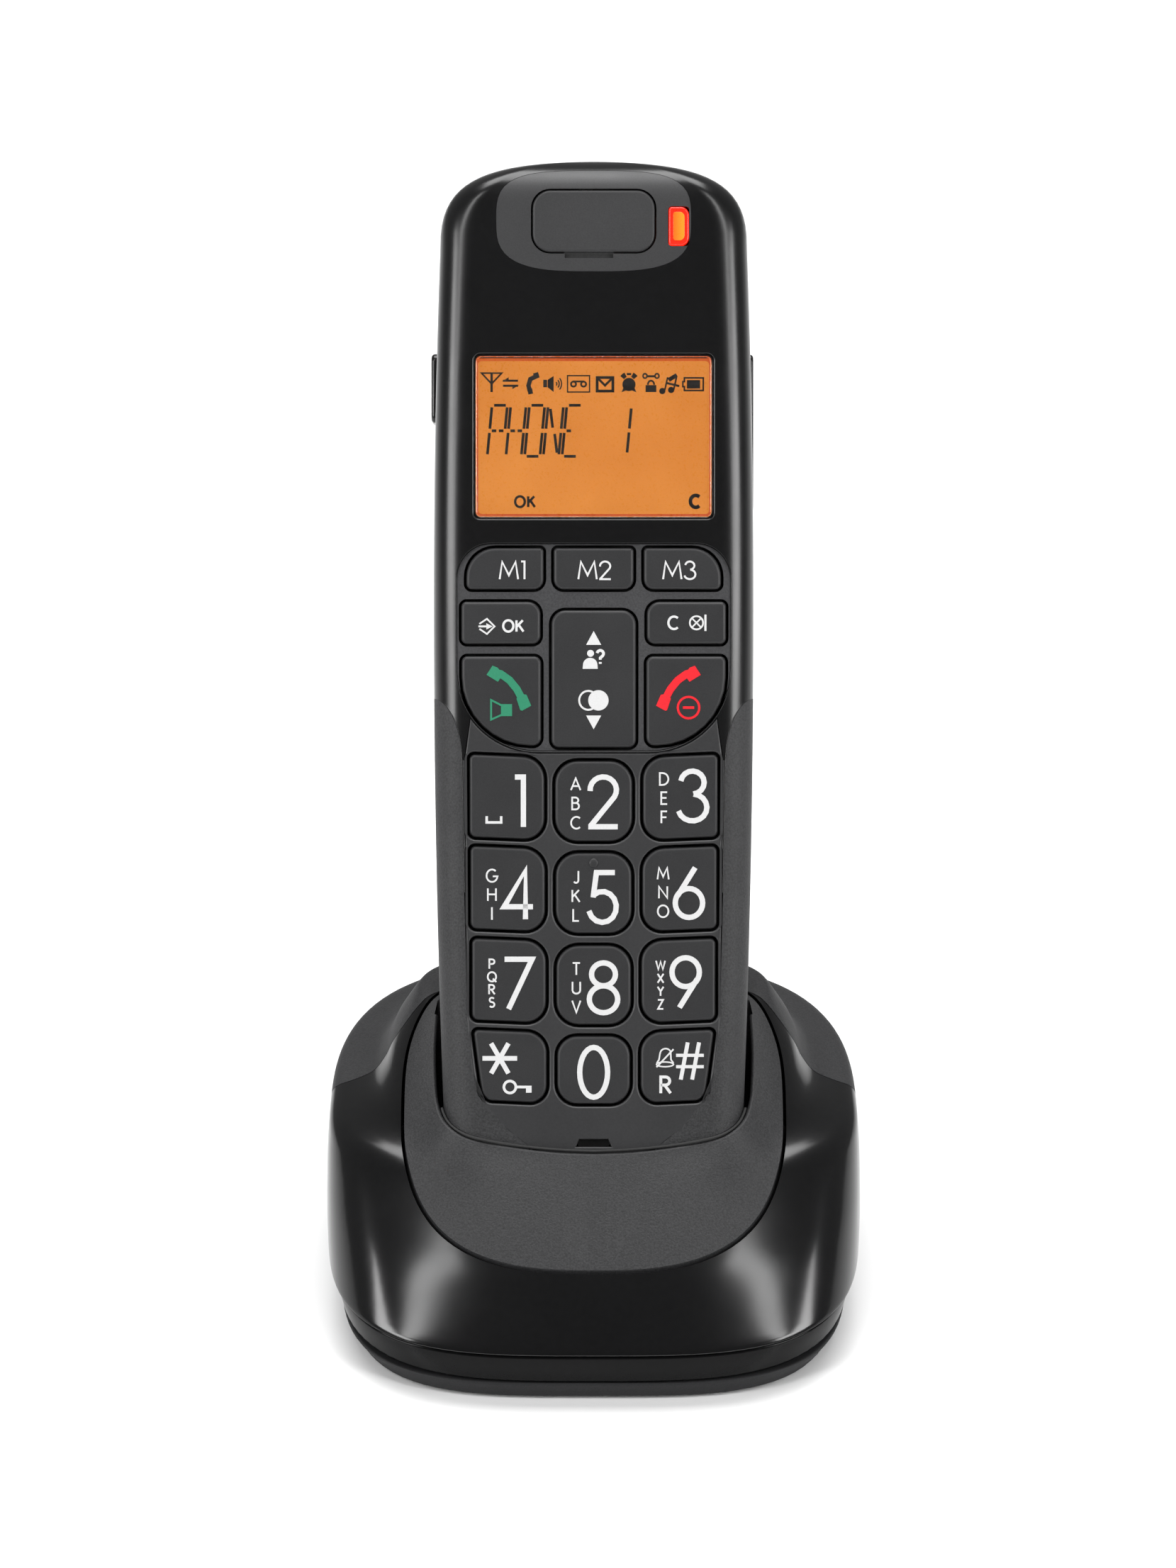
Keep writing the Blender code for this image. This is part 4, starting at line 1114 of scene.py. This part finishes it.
def make_earpiece(outer, inner):
    recess = Form(handset_form(-0.04))
    plate_hole = slab(rounded((-9.95, 9.95), (151.3, 161.6), (3.1,) * 4), (-20.0, -5.0))
    lamp_hole = slab(rounded((11.8, 15.15), (152.5, 158.8), (0.6,) * 4), (-20.0, -5.0))
    slot = block((-4.6, 3.1), (-20.0, -5.0), (150.6, 151.5))
    surround = cut(slab(surround_outline(0.0), (-16.0, -11.3)), ("INTERSECT", recess.bm),
                   ("DIFFERENCE", inner.bm), ("DIFFERENCE", join([plate_hole, lamp_hole])),
                   ("DIFFERENCE", slot))
    on_handset("surround_earpiece", surround, EARPIECE, "earpiece_plastic", ["earpiece_surround"], [recess])
    # A black rubber block just behind the earpiece slot's opening is painted shade: it darkens the slot
    # where the hollow behind it lies in shadow.
    shadow = block((-4.7, 3.2), (-12.9, -12.3), (150.4, 152.0))
    on_handset("painted_shade_slot_earpiece", shadow, RUBBER, "earpiece_plastic")
    cap = plate(rounded((-9.75, 9.75), (151.5, 161.4), (2.9,) * 4, 12), [], -13.35, 1.5, 0.45)
    on_handset("cap_earpiece", cap, EARPIECE, "earpiece_plastic", ["earpiece_plate"],
               sharp=30, flat=DEPTH_AXIS)
    lens = plate(rounded((11.9, 15.1), (152.6, 158.7), (1.3, 1.3, 0.5, 0.5)), [], -13.6, 2.0, 0.3)
    on_handset("lens_call_lamp", lens, LAMP, "lamp_lens", ["call_indicator"], sharp=30, flat=DEPTH_AXIS)
    core = plate(rounded((12.6, 14.4), (153.4, 157.9), (0.8, 0.8, 0.4, 0.4)), [], -13.66, 0.2, 0.05)
    on_handset("core_call_lamp", core, LAMP_CORE, "lamp_lens", sharp=30, flat=DEPTH_AXIS)


# ---------------------------------------------------------------- display

LCD_X, LCD_Z, LCD_MIDDLE = 18.45, (110.0, 134.5), 122.25
LCD_FACE = -11.95

# Segments of one display character on a body one unit high and 0.3 wide.
SEGMENT_ENDS = {
    "a": ((0.04, 1.0), (0.27, 1.0)), "b": ((0.3, 0.96), (0.3, 0.54)), "c": ((0.3, 0.46), (0.3, 0.04)),
    "d": ((0.04, 0.0), (0.27, 0.0)), "e": ((0.0, 0.46), (0.0, 0.04)), "f": ((0.0, 0.96), (0.0, 0.54)),
    "g": ((0.04, 0.5), (0.13, 0.5)), "h": ((0.18, 0.5), (0.27, 0.5)),
    "m": ((0.05, 0.93), (0.13, 0.56)), "n": ((0.18, 0.44), (0.26, 0.07)),
}
SEGMENTS = {"P": "abfgeh", "H": "bcefgh", "O": "abcdef", "N": "bcefmn", "E": "adefg", "1": "bc"}


def display_word(mark, words, x, z, height, pitch):
    slant = 0.095
    for word_character in words:
        for name in SEGMENTS.get(word_character, ""):
            line = [(x + (px + slant * pz) * height, z + pz * height) for px, pz in SEGMENT_ENDS[name]]
            mark.stroke(line, 0.34)
        x += pitch


def display_icons(mark, z):
    """The row of symbols along the top: signal, line, talk, sound, tape, mail, alarm, lock, tune, cell."""
    def at(x, points):
        return [(x + px, z + pz) for px, pz in points]
    mark.stroke(at(-16.2, [(-1.6, 1.65), (1.6, 1.65), (0, -0.05), (-1.6, 1.65)]), 0.22)
    mark.stroke(at(-16.2, [(0, 1.65), (0, -1.35)]), 0.3)
    mark.stroke(at(-13.2, [(-1.2, 0.45), (1.2, 0.45)]), 0.26)
    mark.fill(at(-13.2, [(-1.35, 0.32), (-0.3, 0.32), (-0.3, 1.0)]))
    mark.stroke(at(-13.2, [(-1.2, -0.35), (1.2, -0.35)]), 0.26)
    mark.fill(at(-13.2, [(0.3, -0.9), (1.35, -0.22), (0.3, -0.22)]))
    mark.stroke(at(-9.7, [(0.7, 1.2), (-0.35, 0.7), (-0.65, -0.3), (-0.45, -1.2)]), 0.55)
    mark.stroke(at(-9.7, [(0.2, 1.15), (1.0, 1.4)]), 0.7)
    mark.stroke(at(-9.7, [(-0.75, -1.3), (0.0, -1.15)]), 0.7)
    mark.fill(at(-6.9, [(-1.1, -0.6), (-0.5, -0.6), (-0.5, 0.6), (-1.1, 0.6)]))
    mark.fill(at(-6.9, [(-0.4, -0.6), (0.55, -1.35), (0.55, 1.2), (-0.4, 0.6)]))
    for i in range(3):
        reach = 0.35 + 0.38 * i
        wave = arc((0, 0), (reach, reach * 1.15), -45, 45, 6)
        mark.stroke([(-6.2 + x, z - 0.05 + y) for x, y in wave], 0.16)
    cassette = [(-1.75, -1.35), (1.75, -1.35), (1.75, 1.25), (-1.75, 1.25), (-1.75, -1.35)]
    mark.stroke(at(-2.4, cassette), 0.16)
    for side in (-1, 1):
        mark.stroke([(-2.4 + side * 0.8 + x, z - 0.1 + y) for x, y in ring_path(0, 0, 0.4, 0.4, 14)], 0.22)
    mark.stroke(at(-2.4, [(-0.9, 0.32), (0.9, 0.32)]), 0.22)
    mark.stroke(at(1.8, [(-1.25, -1.2), (1.25, -1.2), (1.25, 0.95), (-1.25, 0.95), (-1.25, -1.2)]), 0.34)
    mark.stroke(at(1.8, [(-1.15, 0.85), (0, -0.3), (1.15, 0.85)]), 0.28)
    mark.disc((5.6, z - 0.15), 1.05)
    mark.stroke([(5.6 + x, z + y) for x, y in arc((0, -0.1), (1.4, 1.6), 40, 68, 4)], 0.6)
    mark.stroke([(5.6 + x, z + y) for x, y in arc((0, -0.1), (1.4, 1.6), 112, 140, 4)], 0.6)
    mark.stroke(at(5.6, [(-0.35, 1.5), (0.35, 1.5)]), 0.26)
    mark.fill(at(5.6, [(-1.2, -1.4), (-0.5, -1.1), (0.5, -1.1), (1.2, -1.4), (0.8, -0.5), (-0.8, -0.5)]))
    for side in (-1, 1):
        mark.stroke([(9.1 + side * 0.95 + x, z + 1.2 + y) for x, y in ring_path(0, 0, 0.32, 0.36, 14)], 0.2)
    mark.stroke(at(9.1, [(-0.7, 1.15), (0.7, 1.15)]), 0.26)
    mark.fill(at(9.1, [(-0.85, -1.35), (0.85, -1.35), (0.85, -0.25), (-0.85, -0.25)]))
    mark.stroke([(9.1 + x, z - 0.2 + y) for x, y in arc((0, 0), (0.5, 0.65), 0, 180, 10)], 0.22)
    for side in (-0.75, 0.65):
        mark.disc((12.0 + side - 0.35, z - 1.1 + 0.12 * side), 0.5)
        mark.stroke(at(12.0 + side, [(0.05, -1.0), (0.5, 1.0)]), 0.2)
    mark.stroke(at(12.3, [(-0.4, 0.55), (0.9, 1.35)]), 0.5)
    mark.stroke(at(12.3, [(-0.8, 0.1), (1.3, -0.4)]), 0.26)
    mark.stroke(at(15.9, [(-1.5, 0.9), (1.5, 0.9), (1.5, -1.1), (-1.5, -1.1), (-1.5, -0.5), (-1.75, -0.5),
                          (-1.75, 0.3), (-1.5, 0.3), (-1.5, 0.9)]), 0.2)
    mark.fill(at(15.9, [(-1.1, -0.8), (1.0, -0.8), (1.0, 0.55), (-1.1, 0.55)]))


def make_display():
    window = plate(rounded((-18.7, 18.7), (109.6, 135.1), (0.8,) * 4), [], -13.3, 1.2, 0.3)
    on_handset("window_display", window, WINDOW, "window", ["display_window"], sharp=30, flat=DEPTH_AXIS)
    x, z = LCD_X, LCD_Z
    panel = plate(rounded((-x, x), z, (0.6,) * 4), [], LCD_FACE, 0.35, 0.04)
    on_handset("glass_display", panel, BACKLIGHT, "display", sharp=30, flat=DEPTH_AXIS)
    edge_hole = rounded((-x + 0.12, x - 0.12), (z[0] + 0.1, z[1] - 0.14), (0.6,) * 4)
    edge = plate(rounded((-x - 0.3, x + 0.3), (z[0] - 0.25, z[1] + 0.3), (0.8,) * 4), [edge_hole],
                 LCD_FACE - 0.05, 0.3, 0.04)
    on_handset("edge_display", edge, EDGE_GLOW, "display", sharp=30, flat=DEPTH_AXIS)
    frame_hole = rounded((-x - 0.28, x + 0.28), (z[0] - 0.22, z[1] + 0.28), (0.8,) * 4)
    frame_plate = plate(rounded((-20.2, 20.2), (108.6, 136.2), (1.0,) * 4), [frame_hole], -11.98, 0.5, 0.06)
    on_handset("frame_display", frame_plate, FRAME, "display", sharp=30, flat=DEPTH_AXIS)
    mark = Print(LCD_FACE, 0.03, 1.3)
    display_icons(mark, LCD_MIDDLE + 8.55)
    display_word(mark, "PHONE", -16.9, LCD_MIDDLE - 3.0, 8.1, 2.97)
    display_word(mark, "1", 3.0, LCD_MIDDLE - 2.7, 7.6, 2.97)
    mark.text("OK", (-10.9, LCD_MIDDLE - 10.2), 2.0, 0.3, gap=0.12)
    mark.text("C", (16.1, LCD_MIDDLE - 10.15), 2.35, 0.45)
    on_handset("crystal_display", mark.bm, CRYSTAL, "display", flat=DEPTH_AXIS)


# ---------------------------------------------------------------- side controls

def side_button(name, node, y, z, radius, x, crown, material, slot, body):
    """A button on the handset's side: a rounded plate that is crowned across its narrow way."""
    side = 1 if x[1] > 0 else -1
    outer_x = x[1] if side > 0 else x[0]
    inner_x = x[0] if side > 0 else x[1]
    rings = [[(inner_x, py, pz) for py, pz in rounded(y, z, (radius,) * 4)]]
    for i in range(7):
        angle = math.pi / 2 * i / 6
        inset = crown * (1 - math.cos(angle))
        reach = outer_x - side * crown * (1 - math.sin(angle))
        limits_y = (y[0] + inset, y[1] - inset)
        limits_z = (z[0] + inset, z[1] - inset)
        outline = rounded(limits_y, limits_z, (radius - inset * 0.8,) * 4)
        rings.append([(reach, py, pz) for py, pz in outline])
    piece(name, loft(rings), HANDSET, material, body, slot, [node], sharp=40, flat=Vector((1, 0, 0)))


def make_side_controls():
    side_button("cap_boost", "boost_button", (-4, 4), (125.1, 136.2), 1.2, (-26.05, -22.9), 0.6,
                GLOSS, "handset_gloss", "boost_button")
    side_button("cap_volume", "volume_rocker", (-4, 4), (110.7, 136.1), 1.2, (22.9, 25.65), 0.5,
                GLOSS, "handset_gloss", "volume_rocker")
    side_button("cap_headset_socket", "headset_socket_cover", (-2.6, 2.6), (138.0, 143.0), 0.7,
                (23.5, 24.95), 0.35, RUBBER, "rubber", "headset_socket_cover")


# ---------------------------------------------------------------- base

def before_handset(x, z):
    """A point well in front of the handset, in the base's frame."""
    return HANDSET_IN_BASE @ Vector((x, -60.0, z))


def make_base_shells():
    outer = Form(base_form())
    inner = base_form(-BASE_WALL, floor=5.0)
    pocket_form = Form(moved(handset_form(POCKET_CLEARANCE), HANDSET_IN_BASE))
    pocket = pocket_form.bm
    cover = cut(
        outer.bm, ("DIFFERENCE", inner), ("DIFFERENCE", tower(insert_outline(INSERT_GROOVE), (6.0, 60.0))),
        ("DIFFERENCE", pocket), ("DIFFERENCE", tower(deck_outline(-0.1), (0.0, 60.0))))
    on_base("cover_base", cover, BASE_GLOSS, "base_gloss", ["base_cover"], [outer, pocket_form])

    sockets = join([
        block((-16.3, -2.7), (40, 55), (9.6, 21.3)),
        block((5.7, 15.3), (40, 55), (9.6, 20.3)),
        rod("Z", (0, 41, 29), 4.3, 12),
    ])
    rear = cut(tower(deck_outline(0.1), (0.0, 60.0)), ("INTERSECT", outer.bm), ("DIFFERENCE", inner),
               ("DIFFERENCE", sockets), ("DIFFERENCE", tower(insert_outline(INSERT_GROOVE), (6.0, 60.0))),
               ("DIFFERENCE", pocket))
    on_base("housing_rear", rear, DECK, "base_matte", ["rear_housing"], [outer])

    swollen = cheeked(base_form())
    dished_form = Form(cut(swollen, ("DIFFERENCE", dish(0.0))))
    swollen_form = Form(swollen)
    skin = cut(tower(insert_outline(0.0), (6.0, 60.0)), ("INTERSECT", swollen),
               ("DIFFERENCE", cut(inner, ("DIFFERENCE", dish(BASE_WALL)))))
    limit = cut(tower(insert_outline(-0.3), (6.0, 60.0)), ("INTERSECT", base_form(-0.5, floor=5.5)),
                ("UNION", base_form(-BASE_WALL - 0.4, floor=5.0)))
    cup = moved(handset_form(POCKET_CLEARANCE + CUP_WALL), HANDSET_IN_BASE)
    pins = moved(join([rod("Z", (side * PIN_X, PIN_Y, -2), 1.55, 8) for side in (-1, 1)]), HANDSET_IN_BASE)
    insert = cut(cup, ("INTERSECT", limit), ("UNION", skin), ("DIFFERENCE", pocket),
                 ("DIFFERENCE", dish(0.0)), ("DIFFERENCE", pins))
    lip, half, shoulder, above = 0.5, 24.9, 34.0, 60.0
    mouth = smile(0.3 + lip)
    open_top = [(half, shoulder), (half, above), (-half, above), (-half, shoulder)]
    front_gap = slab(mouth + open_top, (-30.0, 6.0))
    insert = cut(insert, ("DIFFERENCE", moved(front_gap, HANDSET_IN_BASE)))
    on_base("insert_cradle", insert, MATTE, "base_matte", ["cradle_insert"],
            [dished_form, swollen_form, pocket_form])
    facing = HANDSET_IN_BASE.to_3x3() @ DEPTH_AXIS
    bead = rim(dished_form, mouth, before_handset, facing, lip, closed=False)
    on_base("rim_cradle", bead, MATTE, "base_matte", sharp=80)
    # A thin black rubber bead along the pocket's smile, just above the lip, is painted shade: it stands for
    # the dark gap between the insert's lip and the handset.
    gap_shade_bead = rim(pocket_form, smile(0.15), before_handset, facing, 0.24, closed=False)
    on_base("painted_shade_cradle_gap", gap_shade_bead, RUBBER, "base_matte", sharp=80)


def base_ring(width, front, back, z, front_exponent=FRONT_EXPONENT):
    outline = superellipse(width, front, back, 2.0, (front_exponent, REAR_EXPONENT), 144)
    return [(x, y, z) for x, y in outline]


def rounded_band(low, high, edge, front_exponent=FRONT_EXPONENT):
    """A band between two rings whose lower and upper edges are rounded."""
    rings = []
    for i in range(5):
        angle = math.pi / 2 * i / 4
        inset = edge * (1 - math.sin(angle))
        z = low[3] + edge * (1 - math.cos(angle))
        rings.append(base_ring(low[0] - inset, low[1] + inset, low[2] - inset, z, front_exponent))
    for i in range(5):
        angle = math.pi / 2 * i / 4
        inset = edge * (1 - math.cos(angle))
        z = high[3] - edge * (1 - math.sin(angle))
        rings.append(base_ring(high[0] - inset, high[1] + inset, high[2] - inset, z, front_exponent))
    return loft(rings)


def make_base_lower():
    skirt = rounded_band((41.4, -41.3, 48.8, 3.6), (42.3, -41.8, 49.4, 8.7), 0.5)
    hollow = loft([base_ring(39.4, -39.3, 46.8, 2.0), base_ring(40.3, -39.8, 47.4, 10.0)])
    on_base("skirt_base", cut(skirt, ("DIFFERENCE", hollow)), SKIRT_GLOSS, "base_gloss",
            ["base_skirt"], sharp=40)
    bottom = rounded_band((39.5, -40.9, 47.4, 0.6), (40.9, -41.3, 48.5, 3.3), 0.4, 3.7)
    feet = [(x, y) for x in (-27, 27) for y in (FOOT_Y, 34.0)]
    recesses = join([rod("Z", (x, y, 1.0), 4.3, 2.0) for x, y in feet])
    on_base("plate_bottom", cut(bottom, ("DIFFERENCE", recesses)), UNDER, "base_matte",
            ["bottom_plate"], sharp=40)
    radius, low, high = 4.0, 25.5, 30.3
    rings = [[(x, 41 + y, z) for x, y in ring_path(0, 0, r, r, 40)[:-1]] for r, z in
             ((radius, low), (radius, high - 0.5), (radius - 0.15, high - 0.15), (radius - 0.5, high),
              (radius - 1.5, high - 0.12), (0.4, high - 0.25))]
    piece("cap_page", loft(rings), BASE, DECK, "page_button", "base_matte", ["page_button"], sharp=50)


# ---------------------------------------------------------------- nodes that stay as they are

CARRIED_OVER = {
    "lcd_module": FRAME, "handset_pcb": BOARD, "base_pcb": BOARD, "key_mat": RUBBER,
    "receiver_capsule": METAL, "ringer_speaker": METAL, "microphone": SOCKET,
    "battery_a": SLEEVE, "battery_b": SLEEVE, "battery_springs": METAL, "battery_plate": METAL,
    "handset_contact_left": METAL, "handset_contact_right": METAL,
    "charge_pin_left": GOLD, "charge_pin_right": GOLD,
    "phone_socket": SOCKET, "power_socket": SOCKET,
    "foot_front_left": RUBBER, "foot_front_right": RUBBER,
    "foot_rear_left": RUBBER, "foot_rear_right": RUBBER,
}


def dress_nodes():
    for name, material in CARRIED_OVER.items():
        node = frame["nodes"][name]
        node.data.materials.clear()
        node.data.materials.append(material)


# ---------------------------------------------------------------- studio

def make_floor():
    bm = bmesh.new()
    bmesh.ops.create_grid(bm, x_segments=4, y_segments=4, size=6.0)
    mesh = bpy.data.meshes.new("floor")
    bm.to_mesh(mesh)
    bm.free()
    material, tree, shader = graph_of("pale_floor")
    tone = tinted(tree, mapped(tree, noise(tree, 3.0), 0, 1), (0.83, 0.83, 0.83), (0.85, 0.85, 0.85))
    link(tree, tone, shader.inputs["Base Color"])
    shader.inputs["Roughness"].default_value = 0.16
    shader.inputs["Specular IOR Level"].default_value = 0.5
    mesh.materials.append(material)
    floor = bpy.data.objects.new("floor", mesh)
    bpy.context.scene.collection.objects.link(floor)


def make_world():
    """Even grey surroundings, a little darker towards the front, where the glossy face looks."""
    world = bpy.data.worlds.new("studio")
    bpy.context.scene.world = world
    world.use_nodes = True
    tree = world.node_tree
    place = tree.nodes.new("ShaderNodeTexCoord")
    split = tree.nodes.new("ShaderNodeSeparateXYZ")
    link(tree, place.outputs["Generated"], split.inputs["Vector"])
    level = mapped(tree, split.outputs["Y"], 0.12, 0.26, -0.4, 0.4)
    background = tree.nodes["Background"]
    background.inputs["Color"].default_value = (1.0, 1.0, 1.0, 1.0)
    link(tree, level, background.inputs["Strength"])


def softbox(name, place, target, size, power, roll=0.0):
    data = bpy.data.lights.new(name, "AREA")
    data.shape = "RECTANGLE"
    data.size, data.size_y = size
    data.energy = power
    light = bpy.data.objects.new(name, data)
    light.location = place
    light.rotation_mode = "QUATERNION"
    aimed = (Vector(target) - Vector(place)).to_track_quat("-Z", "Y")
    light.rotation_quaternion = aimed @ Quaternion((0, 0, 1), roll)
    light.visible_camera = False
    bpy.context.scene.collection.objects.link(light)
    return light


def make_lights():
    """Low panels for the handset's shoulders, leaning strips for the base's corners, one panel overhead."""
    for side, name in ((-1, "left"), (1, "right")):
        softbox("panel_" + name, (side * 0.86, -0.42, 0.38), (0, 0, 0.14), (0.50, 0.22), 5.2)
        softbox("strip_" + name, (side * 0.54, -0.46, 0.74), (0, 0, 0.03), (0.11, 0.62), 2.7,
                side * math.radians(22.0))
    softbox("panel_top", (0.0, 0.40, 1.4), (0, 0.1, 0), (1.2, 0.9), 31.0)


def make_camera():
    """The photograph's view: 28 degrees down, 0.8 m from a point just behind the display's foot."""
    pitch, distance = math.radians(28.0), 0.8
    target = Vector((-0.0009, BASE_Y + 0.020, 0.07729))
    data = bpy.data.cameras.new("camera")
    data.lens = 114.3
    data.sensor_width = 36.0
    camera = bpy.data.objects.new("camera", data)
    camera.location = target + Vector((0, -math.cos(pitch), math.sin(pitch))) * distance
    camera.rotation_euler = (math.pi / 2 - pitch, 0, 0)
    bpy.context.scene.collection.objects.link(camera)
    bpy.context.scene.camera = camera


OUTER = Form(handset_form())
INNER = Form(handset_form(-WALL))
make_handset_shells(OUTER, INNER)
make_upper_web()
make_earpiece(OUTER, INNER)
make_keys()
make_display()
make_side_controls()
make_base_shells()
make_base_lower()
dress_nodes()
make_floor()
make_world()
make_lights()
make_camera()
bpy.context.scene.view_settings.view_transform = "Standard"
